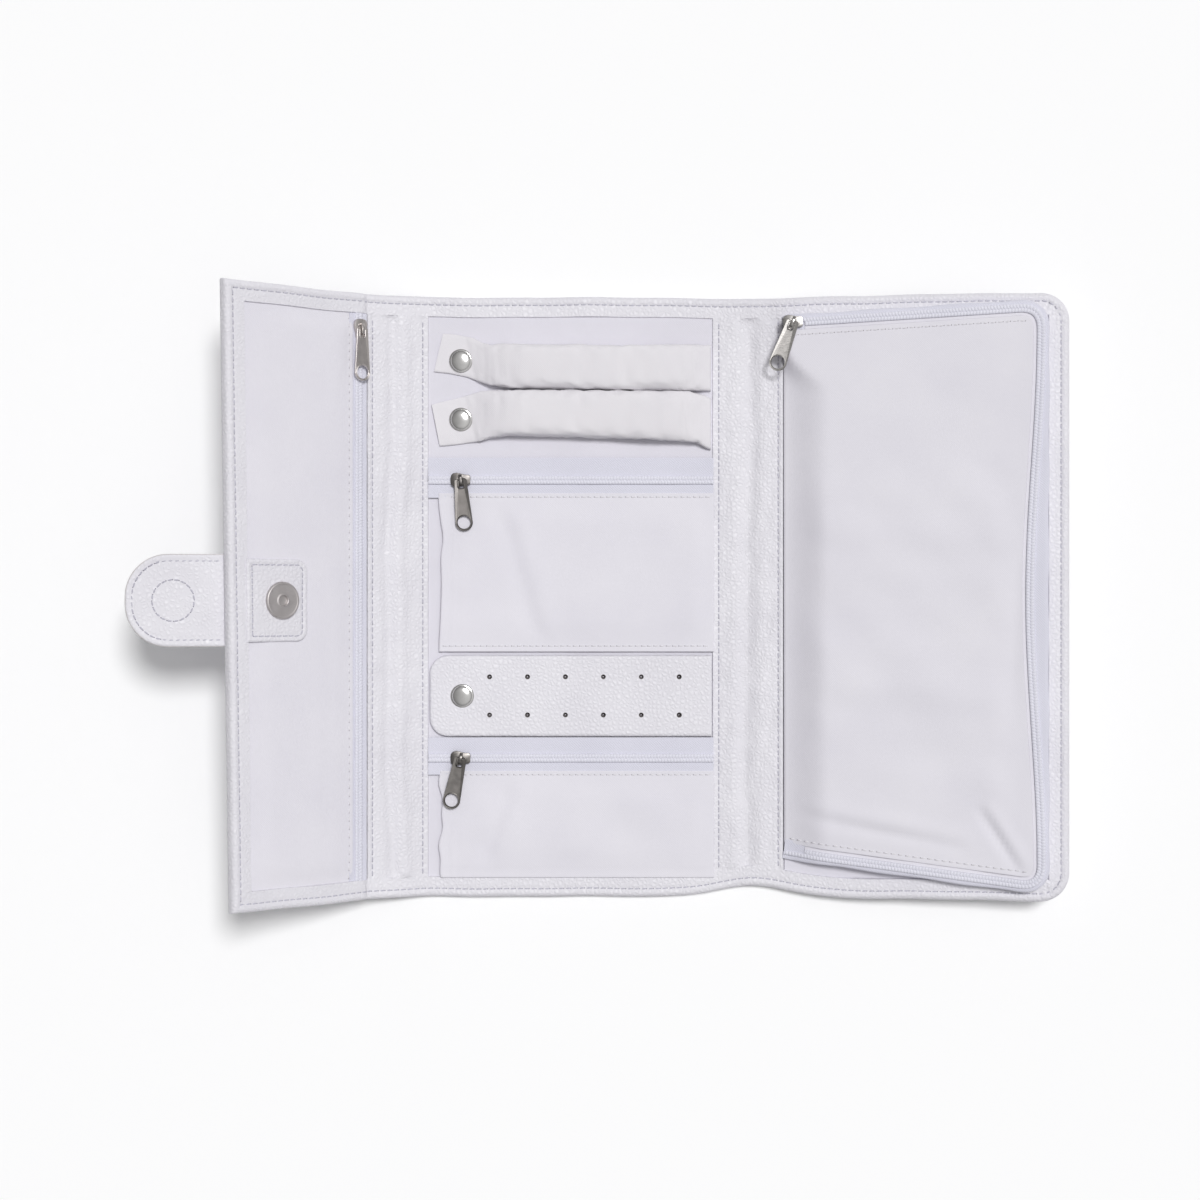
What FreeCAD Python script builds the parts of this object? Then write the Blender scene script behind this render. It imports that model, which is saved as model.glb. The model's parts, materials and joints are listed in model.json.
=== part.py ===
"""Folding jewelry organiser: a soft case of three padded panels joined by two leather spines.

The centre panel lies flat. A flap with a closing tab rises on its left, a zipped pouch panel on
its right, as the opened case lies on a table. Millimetres, +Z up, origin under the centre panel.
"""
import FreeCAD, Part
import math
import os
import re
import Sketcher

SIZES = {
    # Panels, from fold to fold
    "panel_length": 252,
    "centre_width": 119,
    "flap_width": 64,
    "right_width": 124,
    "left_spine_width": 26.5,
    "right_spine_width": 17,
    "spine_draw": 3,
    "corner_radius": 12,
    # How far each panel is raised from its neighbour, degrees
    "left_spine_tilt": 20,
    "flap_tilt": 20,
    "right_spine_tilt": 4,
    "right_tilt": 3,
    "tab_droop": 30,
    # Layers of a panel, from the outside in
    "shell_wall": 1.2,
    "padding_wall": 1.5,
    "lining_wall": 0.5,
    "strip_wall": 0.8,
    "hem_width": 8.5,
    # Shares of the right spine strip sewn to the panels beside it
    "strip_share_centre": 6.6,
    "strip_share_right": 6.2,
    # Pockets
    "sheet_wall": 0.8,
    "seam_width": 2.5,
    "pocket_side_gap": 5,
    "upper_pocket_end": 23,
    # Zips: a tape each side of a slot, with a coil along each inner edge
    "tape_lift": 1.05,
    "tape_wall": 0.5,
    "tape_rim": 0.8,
    "tape_below": 5.7,
    "coil_width": 1.5,
    "coil_height": 1.0,
    "zip_slot": 1.1,
    "upper_zip_place": 49,
    "upper_tape_above": 9.4,
    "lower_zip_place": 67.6,
    "lower_tape_above": 8.4,
    "flap_zip_room": 1.6,
    "flap_tape_room": 1.0,
    "flap_tape_below": 3.0,
    "zip_end_gap": 2,
    # Zip sliders and pulls
    "slider_length": 8,
    "slider_width": 6,
    "slider_plate": 0.6,
    "slider_play": 0.25,
    "slider_park": 13.5,
    "web_width": 0.5,
    "web_length": 3,
    "bridge_reach": 2.5,
    "bridge_leg": 0.8,
    "bridge_width": 1.3,
    "bridge_opening": 1.4,
    "bridge_wall": 0.6,
    "pull_length": 21.5,
    "pull_width": 7.4,
    "pull_neck": 5.4,
    "pull_wall": 0.8,
    "pull_window": 3,
    "pull_window_width": 2.4,
    "pull_radius": 3.3,
    "pull_hole": 5.4,
    "upper_pull_turn": 95,
    "lower_pull_turn": 78,
    "flap_pull_turn": 180,
    "pouch_pull_turn": 67,
    # Ring rolls
    "roll_width": 18.6,
    "roll_height": 10,
    "roll_end_height": 3.5,
    "roll_end_draw": 2.8,
    "roll_taper": 0.3,
    "roll_cloth": 0.8,
    "roll_lift": 0.1,
    "roll_length": 90.3,
    "roll_pitch": 19.8,
    "upper_roll_place": 96.6,
    "roll_tab_length": 22,
    "roll_tab_width": 15,
    "roll_tab_wall": 1.6,
    "roll_tab_shift": 2.4,
    "roll_cap_inset": 10,
    "seam_setback": 3.2,
    # Earring strip
    "earring_place": 41.5,
    "earring_width": 34,
    "earring_layer": 1.2,
    "earring_radius": 7.6,
    "earring_end_gap": 0.5,
    "earring_cap_inset": 13.6,
    "earring_hole": 2.0,
    "earring_pitch": 15.9,
    "earring_row_gap": 16,
    "earring_first_hole": 25.1,
    "earring_holes": 6,
    # Press snaps
    "cap_radius": 5,
    "cap_rim": 0.5,
    "cap_dome": 1.3,
    "cap_flat": 3.2,
    "neck_radius": 3.6,
    "neck_lift": 0.2,
    "stud_radius": 1.6,
    "stud_height": 1.5,
    "snap_play": 0.3,
    # Closing tab and magnetic snap
    "closure_place": 1.5,
    "tab_length": 38.8,
    "tab_width": 37,
    "tab_layer": 1.2,
    "tab_radius": 14,
    "tab_gap": 0.6,
    "anchor_length": 12,
    "patch_length": 32,
    "patch_width": 33,
    "patch_inset": 2,
    "patch_radius": 5,
    "magnet_place": 42.2,
    "magnet_radius": 7,
    "socket_height": 1.6,
    "socket_bore": 2.2,
    "socket_depth": 1.2,
    "stud_plate": 1.0,
    "stud_post": 1.7,
    "stud_reach": 1.9,
    # Zipped pouch on the right panel
    "pouch_depth": 6.5,
    "pouch_radius": 9,
    "pouch_free_inset": 13,
    "pouch_top_spine_inset": 12,
    "pouch_top_free_inset": 7,
    "pouch_bottom_spine_inset": 20,
    "pouch_bottom_free_inset": 7,
    "pouch_wall": 0.8,
    "pouch_tape_room": 1.5,
    "pouch_cover_room": 0.4,
    "pouch_slider_place": 10.5,
    "pouch_hinge_place": 15,
    "pouch_hinge_gap": 0.2,
}

ROLL_STEPS = 14
UP = "0; 0; 1"
ALONG = "0; 1; 0"
HALF = "panel_length / 2"
SPINE_HALF = "(panel_length / 2 - spine_draw)"
LINING = "-strip_wall"
SHELL_LOW = "-(strip_wall + lining_wall + padding_wall + shell_wall)"
SHELL_TOP = "-(strip_wall + lining_wall + padding_wall)"
PADDING_TOP = "-(strip_wall + lining_wall)"
FRONT_HEIGHT = "(tape_lift + sheet_wall)"
FRONT_TOP = "(tape_lift + sheet_wall - strip_wall)"
SEAM_END = "(centre_width / 2 - seam_setback)"
LEFT_FOLD = "-centre_width / 2"
RIGHT_FOLD = "(centre_width / 2 + strip_share_centre)"
FLAP_ZIP = "(slider_width / 2 + flap_zip_room)"
FLAP_TAPE = "(slider_width / 2 + flap_tape_room)"
POUCH_TAPE = "(slider_width / 2 + pouch_tape_room)"
COVER_INSET = "(slider_width / 2 + pouch_cover_room)"

doc = FreeCAD.newDocument("JewelryOrganiser")
sheet = doc.addObject("Spreadsheet::Sheet", "Sizes")
for row, (name, number) in enumerate(SIZES.items(), start=1):
    sheet.set(f"A{row}", str(number))
    sheet.setAlias(f"A{row}", name)
doc.recompute()

nodes = []


def sized(text):
    """The expression with each size pointed at its cell."""
    return re.sub(r"[a-z][a-z_]*", lambda m: "Sizes." + m[0] if m[0] in SIZES else m[0], text)


def value(text):
    """The number that an expression has now."""
    return float(sheet.evalExpression(sized(text)))


def bind(obj, **expressions):
    """Ties properties of an object to expressions in the sizes."""
    for prop, text in expressions.items():
        obj.setExpression(prop, sized(text))


def place(obj, parent, x="0", y="0", z="0", axis=UP, turn="0"):
    """Puts an object in a parent frame, turned about an axis."""
    own = f"placement(vector({x}; {y}; {z}); rotation(vector({axis}); {turn}))"
    bind(obj, Placement=f"{parent}.Placement * {own}")


def frame(name, parent, **where):
    """A named frame that pieces are placed in."""
    datum = doc.addObject("App::Placement", name)
    place(datum, parent, **where)
    return name


def node(obj):
    """Marks an object as a finished piece, written to a file of its own."""
    nodes.append(obj)
    return obj


def slab(label, parent, x, y, z):
    """A flat box, given as a low and a high place along each axis."""
    box = doc.addObject("Part::Box", label)
    bind(box, Length=f"({x[1]}) - ({x[0]})", Width=f"({y[1]}) - ({y[0]})",
         Height=f"({z[1]}) - ({z[0]})")
    place(box, parent, x[0], y[0], z[0])
    return box


def group(label, members):
    """Separate solids of one kind that share a piece's name."""
    compound = doc.addObject("Part::Compound", label)
    compound.Links = members
    return compound


def fused(label, members):
    """Solids joined into one."""
    fusion = doc.addObject("Part::MultiFuse", label)
    fusion.Shapes = members
    fusion.Refine = True
    return fusion


def cut(label, base, tool):
    """One solid less another."""
    difference = doc.addObject("Part::Cut", label)
    difference.Base = base
    difference.Tool = tool
    return difference


def add_loop(sketch, points):
    """A closed run of straight lines whose corners are bound to pairs of expressions."""
    first = sketch.GeometryCount
    places = [FreeCAD.Vector(value(x), value(y), 0) for x, y in points]
    count = len(places)
    for i, start in enumerate(places):
        sketch.addGeometry(Part.LineSegment(start, places[(i + 1) % count]), False)
    for i in range(count):
        after = first + (i + 1) % count
        sketch.addConstraint(Sketcher.Constraint("Coincident", first + i, 2, after, 1))
    for i, (x, y) in enumerate(points):
        for kind, text in (("DistanceX", x), ("DistanceY", y)):
            limit = Sketcher.Constraint(kind, -1, 1, first + i, 1, value(text))
            index = sketch.addConstraint(limit)
            bind(sketch, **{f"Constraints[{index}]": text})


def add_circle(sketch, x, y, diameter):
    """A circle whose place and diameter are bound to expressions."""
    middle = FreeCAD.Vector(value(x), value(y), 0)
    ring = sketch.addGeometry(Part.Circle(middle, FreeCAD.Vector(0, 0, 1), value(diameter) / 2), False)
    limits = (("DistanceX", x), ("DistanceY", y))
    for kind, text in limits:
        index = sketch.addConstraint(Sketcher.Constraint(kind, -1, 1, ring, 3, value(text)))
        bind(sketch, **{f"Constraints[{index}]": text})
    index = sketch.addConstraint(Sketcher.Constraint("Diameter", ring, value(diameter)))
    bind(sketch, **{f"Constraints[{index}]": diameter})


def sketch_on(body, role, name):
    """A sketch on one of the body's own origin planes."""
    sketch = body.newObject("Sketcher::SketchObject", name)
    plane = next(item for item in body.Origin.OriginFeatures if item.Role == role)
    sketch.AttachmentSupport = [(plane, "")]
    sketch.MapMode = "FlatFace"
    return sketch


def upright_edges(shape, corners):
    """Names of the edges that stand on the given corners of an outline."""
    names = []
    for index, edge in enumerate(shape.Edges, start=1):
        ends = [vertex.Point for vertex in edge.Vertexes]
        for corner in corners:
            if len(ends) == 2 and all((p.x - corner.x) ** 2 + (p.y - corner.y) ** 2 < 1e-6 for p in ends):
                names.append(f"Edge{index}")
    return names


def plate(label, parent, loops, z, rounds=(), **where):
    """A flat piece padded from an outline, with some of its corners rounded.

    rounds lists a radius and the corners that it rounds, counted over all the loops.
    """
    body = doc.addObject("PartDesign::Body", label)
    outline = sketch_on(body, "XY_Plane", label + "_outline")
    for loop in loops:
        add_loop(outline, loop)
    feature = body.newObject("PartDesign::Pad", label + "_pad")
    feature.Profile = outline
    bind(feature, Length=f"({z[1]}) - ({z[0]})")
    doc.recompute()
    for radius, corners in rounds:
        spots = [outline.Geometry[corner].StartPoint for corner in corners]
        edges = upright_edges(feature.Shape, spots)
        rounding = body.newObject("PartDesign::Fillet", label + "_round")
        rounding.Base = (feature, edges)
        bind(rounding, Radius=radius)
        doc.recompute()
        feature = rounding
    place(body, parent, z=z[0], **where)
    return body


def pierce(body, circles):
    """Round holes right through a padded piece."""
    spots = sketch_on(body, "XY_Plane", body.Name + "_spots")
    for x, y, diameter in circles:
        add_circle(spots, x, y, diameter)
    before = body.Shape.Volume
    pocket = body.newObject("PartDesign::Pocket", body.Name + "_holes")
    pocket.Profile = spots
    pocket.Type = "ThroughAll"
    pocket.Midplane = True
    doc.recompute()
    if body.Shape.Volume >= before:
        raise RuntimeError(body.Label + ": the holes cut nothing")
    return pocket


def turned(label, parent, profile, axis=UP, turn="0", **where):
    """A round piece turned from a profile of radii and heights."""
    body = doc.addObject("PartDesign::Body", label)
    outline = sketch_on(body, "XZ_Plane", label + "_profile")
    add_loop(outline, profile)
    revolution = body.newObject("PartDesign::Revolution", label + "_turn")
    revolution.Profile = outline
    revolution.ReferenceAxis = (outline, ["V_Axis"])
    revolution.Angle = 360
    place(body, parent, axis=axis, turn=turn, **where)
    return body


def rectangle(x, y):
    """The four corners of a rectangle, from the low corner round to the left."""
    return [(x[0], y[0]), (x[1], y[0]), (x[1], y[1]), (x[0], y[1])]


def layers(prefix, parent, x, half):
    """Shell, padding and lining of a panel, one on another."""
    span = (f"-({half})", half)
    node(slab(prefix + "_shell", parent, x, span, (SHELL_LOW, SHELL_TOP)))
    node(slab(prefix + "_padding", parent, x, span, (SHELL_TOP, PADDING_TOP)))
    node(slab(prefix + "_lining", parent, x, span, (PADDING_TOP, LINING)))


def spine(prefix, parent, x):
    """A spine: outer leather, a soft filling and the leather strip on the inside."""
    span = (f"-{SPINE_HALF}", SPINE_HALF)
    node(slab(prefix + "_shell", parent, x, span, (SHELL_LOW, SHELL_TOP)))
    node(slab(prefix + "_padding", parent, x, span, (SHELL_TOP, LINING)))
    node(slab(prefix + "_strip", parent, x, span, (LINING, "0")))


def pocket_front(label, parent, x, y, mouth):
    """A pocket's front sheet, with sewn seams on every side but its mouth."""
    top = f"{LINING} + {FRONT_HEIGHT}"
    outer = slab(label + "_blank", parent, x, y, (LINING, top))
    past = {"x": "-", "y": "-"}
    past[mouth] = "+"
    inner_x = (f"{x[0]} + seam_width", f"{x[1]} {past['x']} seam_width")
    inner_y = (f"{y[0]} + seam_width", f"{y[1]} {past['y']} seam_width")
    hollow = slab(label + "_hollow", parent, inner_x, inner_y,
                  (f"{LINING} - seam_width", f"{LINING} + tape_lift"))
    return node(cut(label, outer, hollow))


def zip_tapes(prefix, parent, run, above, below):
    """The two tapes and the two coils of a straight zip, with the slot between them."""
    tape = ("tape_lift", "tape_lift + tape_wall")
    coil = ("tape_lift + tape_wall", "tape_lift + tape_wall + coil_height")
    sheet_above = slab(prefix + "_tape_sheet", parent, run, ("zip_slot / 2", above), tape)
    rim = slab(prefix + "_tape_rim", parent, run, (f"{above} - tape_rim", above), ("0", tape[1]))
    half_above = fused(prefix + "_tape_above", [sheet_above, rim])
    half_below = slab(prefix + "_tape_below", parent, run, (f"-({below})", "-zip_slot / 2"), tape)
    node(group(prefix + "_tape", [half_above, half_below]))
    rows = []
    for side, low, high in (("above", "zip_slot / 2", "zip_slot / 2 + coil_width"),
                            ("below", "-(zip_slot / 2 + coil_width)", "-zip_slot / 2")):
        rows.append(slab(f"{prefix}_coil_{side}", parent, run, (low, high), coil))
    node(group(prefix + "_coil", rows))


def zip_slider(prefix, parent, turn):
    """A slider round the coils, with a bridge and a pull that swings on it."""
    under = "tape_lift - slider_play"
    over = "(tape_lift + tape_wall + coil_height + slider_play)"
    deck = f"({over} + slider_plate)"
    length = ("-slider_length / 2", "slider_length / 2")
    width = ("-slider_width / 2", "slider_width / 2")
    bottom = slab(prefix + "_slider_bottom", parent, length, width, (f"{under} - slider_plate", under))
    web = slab(prefix + "_slider_web", parent, ("-web_length / 2", "web_length / 2"),
               ("-web_width / 2", "web_width / 2"), (f"{under} - slider_plate / 2", deck))
    top = slab(prefix + "_slider_top", parent, length, width, (over, deck))
    swivel = frame(prefix + "_swivel", parent, turn=turn)
    bar_low = f"({deck} + bridge_opening)"
    bar_high = f"({bar_low} + bridge_wall)"
    breadth = ("-bridge_width / 2", "bridge_width / 2")
    bar = slab(prefix + "_slider_bar", swivel, ("-bridge_reach", "bridge_reach"), breadth, (bar_low, bar_high))
    near = slab(prefix + "_slider_near_leg", swivel, ("-bridge_reach", "bridge_leg - bridge_reach"),
                breadth, (over, bar_high))
    far = slab(prefix + "_slider_far_leg", swivel, ("bridge_reach - bridge_leg", "bridge_reach"),
               breadth, (over, bar_high))
    node(fused(prefix + "_slider", [bottom, web, top, bar, near, far]))
    half_bar = "pull_wall / 2"
    outer = [("-pull_length", "-pull_width / 2"), (half_bar, "-pull_neck / 2"),
             (half_bar, "pull_neck / 2"), ("-pull_length", "pull_width / 2")]
    window = rectangle((f"-(pull_window + {half_bar})", f"-{half_bar}"),
                       ("-pull_window_width / 2", "pull_window_width / 2"))
    middle = f"({deck} + bridge_opening / 2)"
    pull = plate(prefix + "_pull", swivel, [outer, window], (f"{middle} - {half_bar}", f"{middle} + {half_bar}"),
                 rounds=[("pull_radius", (0, 3))])
    pierce(pull, [("pull_width / 2 - pull_length", "0", "pull_hole")])
    node(pull)


def press_snap(label, parent, x, y, thick):
    """Cap on top of a layer and the socket below it, clinched through a hole in the layer."""
    bore = "(stud_radius + snap_play)"
    roof = "(stud_height + snap_play)"
    profile = [(bore, "neck_lift"), ("neck_radius", "neck_lift"), ("neck_radius", thick),
               ("cap_radius", thick), ("cap_radius", f"{thick} + cap_rim"),
               ("cap_flat", f"{thick} + cap_dome"), ("0", f"{thick} + cap_dome"), ("0", roof), (bore, roof)]
    return node(turned(label, parent, profile, x=x, y=y, z=LINING))


def snap_stud(label, parent, x, y):
    """The stud that a press snap's socket closes on."""
    stud = doc.addObject("Part::Cylinder", label)
    bind(stud, Radius="stud_radius", Height="stud_height")
    place(stud, parent, x, y, LINING)
    return stud


def roll_section(along, width, height, inset):
    """A closed section across a ring roll: flat under it, round at the sides, crowned on top."""
    side = width / 2 - inset
    tall = height - 2 * inset
    under = side - 0.35 * tall
    shoulder = side - 0.30 * tall

    def at(across, share):
        return FreeCAD.Vector(along, across, inset + share * tall)

    corners = [at(-under, 0), at(under, 0), at(shoulder, 0.80), at(-shoulder, 0.80)]
    edges = [Part.LineSegment(corners[0], corners[1]).toShape()]
    for start, bulge, end in ((corners[1], at(side, 0.42), corners[2]),
                              (corners[2], at(0, 1), corners[3]),
                              (corners[3], at(-side, 0.42), corners[0])):
        edges.append(Part.Arc(start, bulge, end).toShape())
    return Part.Wire(edges)


def roll_form(label, parent, y, inset):
    """The stuffed form of a ring roll, crowned along its length and drawn in at its two ends."""
    length = value("roll_length") - 2 * inset
    sections = []
    for step in range(ROLL_STEPS + 1):
        share = (1 - math.cos(math.pi * step / ROLL_STEPS)) / 2
        from_end = min(share, 1 - share) / value("roll_taper")
        swell = 1 - max(0, 1 - from_end) ** 3
        width = value("roll_width") - value("roll_end_draw") * (1 - swell)
        height = value("roll_end_height") + (value("roll_height") - value("roll_end_height")) * swell
        sections.append(roll_section(-share * length - inset, width, height, inset))
    form = doc.addObject("Part::Feature", label)
    form.Shape = Part.makeLoft(sections, True, True)
    place(form, parent, SEAM_END, y, f"{LINING} + roll_lift")
    return form


def ring_roll(prefix, parent, y, shift):
    """A ring roll: cloth cover with a flat tab, stuffing, and the press snap on the tab."""
    outer = roll_form(prefix + "_form", parent, y, 0)
    stuffing = node(roll_form(prefix + "_filling", parent, y, value("roll_cloth")))
    tip = f"({SEAM_END} - roll_length - roll_tab_length)"
    overlap = f"({SEAM_END} - roll_length + roll_cloth)"
    middle = f"({y} + ({shift}))"
    under = f"({LINING} + roll_lift)"
    tongue = slab(prefix + "_tongue", parent, (tip, overlap),
                  (f"{middle} - roll_tab_width / 2", f"{middle} + roll_tab_width / 2"),
                  (under, f"{under} + roll_tab_wall"))
    cover = fused(prefix + "_skin", [outer, tongue])
    hole = doc.addObject("Part::Cylinder", prefix + "_hole")
    bind(hole, Radius="neck_radius + snap_play", Height="roll_tab_wall * 3")
    cap_x = f"({tip} + roll_cap_inset)"
    place(hole, parent, cap_x, middle, f"{under} - roll_tab_wall")
    pierced = cut(prefix + "_pierced", cover, hole)
    node(cut(prefix + "_cover", pierced, stuffing))
    press_snap(prefix + "_snap", parent, cap_x, middle, "(roll_lift + roll_tab_wall)")
    return snap_stud(prefix + "_stud", parent, cap_x, middle)


def earring_strip(parent):
    """Two leather layers with two rows of earring holes, and the press snap at the free end."""
    left = f"({LEFT_FOLD} + earring_end_gap)"
    outline = rectangle((left, SEAM_END), ("-earring_width / 2", "earring_width / 2"))
    first = f"({left} + earring_first_hole)"
    cap_x = f"({left} + earring_cap_inset)"
    circles = [(cap_x, "0", "2 * (neck_radius + snap_play)")]
    for index in range(int(value("earring_holes"))):
        for side in (-1, 1):
            circles.append((f"{first} + {index} * earring_pitch", f"{side} * earring_row_gap / 2", "earring_hole"))
    for label, low in (("earring_strip_back", "0"), ("earring_strip_front", "earring_layer")):
        z = (f"{LINING} + {low}", f"{LINING} + {low} + earring_layer")
        layer = plate(label, parent, [outline], z, rounds=[("earring_radius", (0, 3))], y="-earring_place")
        pierce(layer, circles)
        node(layer)
    press_snap("earring_strip_snap", parent, cap_x, "-earring_place", "(2 * earring_layer)")
    return snap_stud("earring_strip_stud", parent, cap_x, "-earring_place")


def pouch_corners(out, start):
    """Corners of the pouch's zip path, moved outwards: bottom seam, bottom, top, top seam."""
    bottom_seam = f"-({HALF} - pouch_bottom_spine_inset + ({out}))"
    bottom_free = f"-({HALF} - pouch_bottom_free_inset + ({out}))"
    top_free = f"{HALF} - pouch_top_free_inset + ({out})"
    top_seam = f"{HALF} - pouch_top_spine_inset + ({out})"
    free = f"right_width - pouch_free_inset + ({out})"
    return [(start, bottom_seam), (free, bottom_free), (free, top_free), (start, top_seam)]


def pouch_band(label, parent, inner, outer, z, start):
    """A band that goes round three sides of the pouch, along its zip."""
    around = pouch_corners(outer, start) + pouch_corners(inner, start)[::-1]
    rounds = [(f"pouch_radius + ({outer})", (1, 2)), (f"pouch_radius + ({inner})", (5, 6))]
    return node(plate(label, parent, [around], z, rounds))


def centre_panel(parent):
    """The middle panel, with two zipped pockets, two ring rolls and an earring strip."""
    width = (LEFT_FOLD, RIGHT_FOLD)
    layers("centre", parent, width, HALF)
    inside = "centre_width / 2"
    level = (LINING, "0")
    edge = f"({HALF} - hem_width)"
    top = slab("centre_top_hem", parent, (LEFT_FOLD, inside), (edge, HALF), level)
    bottom = slab("centre_bottom_hem", parent, (LEFT_FOLD, inside), (f"-({HALF})", f"-{edge}"), level)
    share = slab("centre_strip_share", parent, (inside, RIGHT_FOLD), (f"-({HALF})", HALF), level)
    node(group("centre_hems", [top, bottom, share]))
    sides = (f"{LEFT_FOLD} + pocket_side_gap", inside)
    run = (f"{LEFT_FOLD} + zip_end_gap", inside)
    pocket_front("upper_pocket_front", parent, sides, ("-upper_pocket_end", "upper_zip_place - tape_below"), "y")
    pocket_front("lower_pocket_front", parent, sides, (f"-{edge}", "-lower_zip_place - tape_below"), "y")
    for prefix, height, above, turn in (
            ("upper_zip", "upper_zip_place", "upper_tape_above", "upper_pull_turn"),
            ("lower_zip", "-lower_zip_place", "lower_tape_above", "lower_pull_turn")):
        line = frame(prefix + "_line", parent, y=height, z=LINING)
        zip_tapes(prefix, line, run, above, "tape_below")
        zip_slider(prefix, frame(prefix + "_park", line, x=f"{LEFT_FOLD} + slider_park"), turn)
    studs = [ring_roll("upper_roll", parent, "upper_roll_place", "roll_tab_shift"),
             ring_roll("lower_roll", parent, "upper_roll_place - roll_pitch", "-roll_tab_shift"),
             earring_strip(parent)]
    node(group("snap_studs", studs))


def flap(parent):
    """The left flap: a zipped pocket all over its inside, and the socket of the magnetic snap."""
    layers("flap", parent, ("-flap_width", "0"), HALF)
    edge = f"({HALF} - hem_width)"
    inner = "hem_width - flap_width"
    border = [("0", HALF), ("-flap_width", HALF), ("-flap_width", f"-({HALF})"), ("0", f"-({HALF})"),
              ("0", f"-{edge}"), (inner, f"-{edge}"), (inner, edge), ("0", edge)]
    node(plate("flap_hem", parent, [border], (LINING, FRONT_TOP)))
    front_start = f"-({FLAP_ZIP} + flap_tape_below)"
    pocket_front("flap_pocket_front", parent, (inner, front_start), (f"-{edge}", edge), "x")
    line = frame("flap_zip_line", parent, x=f"-{FLAP_ZIP}", z=LINING, turn="-90")
    zip_tapes("flap_zip", line, (f"-{edge}", edge), FLAP_TAPE, "flap_tape_below")
    zip_slider("flap_zip", frame("flap_zip_park", line, x=f"slider_park / 2 - {edge}"), "flap_pull_turn")
    far = "(patch_inset - flap_width)"
    patch = rectangle((far, f"{far} + patch_length"), ("-patch_width / 2", "patch_width / 2"))
    node(plate("snap_patch", parent, [patch], (FRONT_TOP, f"{FRONT_TOP} + sheet_wall"),
               rounds=[("patch_radius", (1, 2))], y="-closure_place"))
    socket = [("0", "0"), ("magnet_radius", "0"), ("magnet_radius", "socket_height"),
              ("socket_bore", "socket_height"), ("socket_bore", "socket_height - socket_depth"),
              ("0", "socket_height - socket_depth")]
    node(turned("magnet_socket", parent, socket, x="-magnet_place", y="-closure_place",
                z=f"{FRONT_TOP} + sheet_wall"))
    breadth = ("-(tab_width / 2 + closure_place)", "tab_width / 2 - closure_place")
    node(slab("tab_anchor", parent, ("-flap_width", "anchor_length - flap_width"), breadth,
              (f"{SHELL_LOW} - tab_layer", SHELL_LOW)))


def closing_tab(parent):
    """The tab beyond the flap's edge: two layers of leather with a rounded end."""
    outline = rectangle(("-tab_length", "0"), ("-tab_width / 2", "tab_width / 2"))
    for label, low in (("tab_outer", "0"), ("tab_inner", "tab_layer")):
        node(plate(label, parent, [outline], (low, f"{low} + tab_layer"),
                   rounds=[("tab_radius", (0, 3))], y="-closure_place"))


def right_panel(parent):
    """The right panel: a pouch closed by a zip round three sides, and the magnetic snap's stud."""
    edge = [("0", f"-{SPINE_HALF}"), ("right_width", f"-({HALF})"), ("right_width", HALF), ("0", SPINE_HALF)]
    corners = [("corner_radius", (1, 2))]
    for label, z in (("right_shell", (SHELL_LOW, SHELL_TOP)), ("right_padding", (SHELL_TOP, PADDING_TOP)),
                     ("right_lining", (PADDING_TOP, LINING))):
        node(plate(label, parent, [edge], z, corners))
    seam = "strip_share_right"
    window = pouch_corners(POUCH_TAPE, seam)
    node(plate("right_border", parent, [edge, window], (LINING, "0"),
               corners + [(f"pouch_radius + {POUCH_TAPE}", (5, 6))]))
    mouth = f"({LINING} + pouch_depth)"
    tape = (mouth, f"{mouth} + tape_wall")
    coil = (tape[1], f"{tape[1]} + coil_height")
    slot = "zip_slot / 2"
    teeth = "zip_slot / 2 + coil_width"
    pouch_band("pouch_gusset", parent, f"{POUCH_TAPE} - pouch_wall", POUCH_TAPE, (LINING, mouth), seam)
    pouch_band("pouch_outer_tape", parent, slot, POUCH_TAPE, tape, seam)
    pouch_band("pouch_outer_coil", parent, slot, teeth, coil, seam)
    hinge = "(pouch_hinge_place - pouch_hinge_gap)"
    sheet_z = (tape[1], f"{tape[1]} + sheet_wall")
    low, _, _, high = pouch_corners(f"-{COVER_INSET}", seam)
    span = (low[1], high[1])
    margin_top = slab("pouch_margin_top", parent, (seam, hinge), span, sheet_z)
    margin_wall = slab("pouch_margin_wall", parent, (seam, f"{seam} + pouch_wall"), span, (LINING, sheet_z[1]))
    node(fused("pouch_margin", [margin_top, margin_wall]))
    start = "pouch_hinge_place"
    pouch_band("pouch_inner_tape", parent, f"-{POUCH_TAPE}", f"-({slot})", tape, start)
    pouch_band("pouch_inner_coil", parent, f"-({teeth})", f"-({slot})", coil, start)
    cover = pouch_corners(f"-{COVER_INSET}", start)
    node(plate("pouch_cover", parent, [cover], sheet_z, [(f"pouch_radius - {COVER_INSET}", (1, 2))]))
    reach = "(right_width - pouch_free_inset - strip_share_right)"
    slope = f"((pouch_top_spine_inset - pouch_top_free_inset) / {reach})"
    rise = f"{slope} * (pouch_slider_place - strip_share_right)"
    park = frame("pouch_zip_park", parent, x="pouch_slider_place",
                 y=f"{HALF} - pouch_top_spine_inset + {rise}", z=f"{mouth} - tape_lift", turn=f"atan({slope})")
    zip_slider("pouch_zip", park, "pouch_pull_turn")
    stud = [("0", "0"), ("magnet_radius", "0"), ("magnet_radius", "stud_plate"), ("stud_post", "stud_plate"),
            ("stud_post", "stud_plate + stud_reach"), ("0", "stud_plate + stud_reach")]
    node(turned("magnet_stud", parent, stud, axis="1; 0; 0", turn="180",
                x="centre_width + strip_share_centre - magnet_place", y="-closure_place", z=SHELL_LOW))


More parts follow.
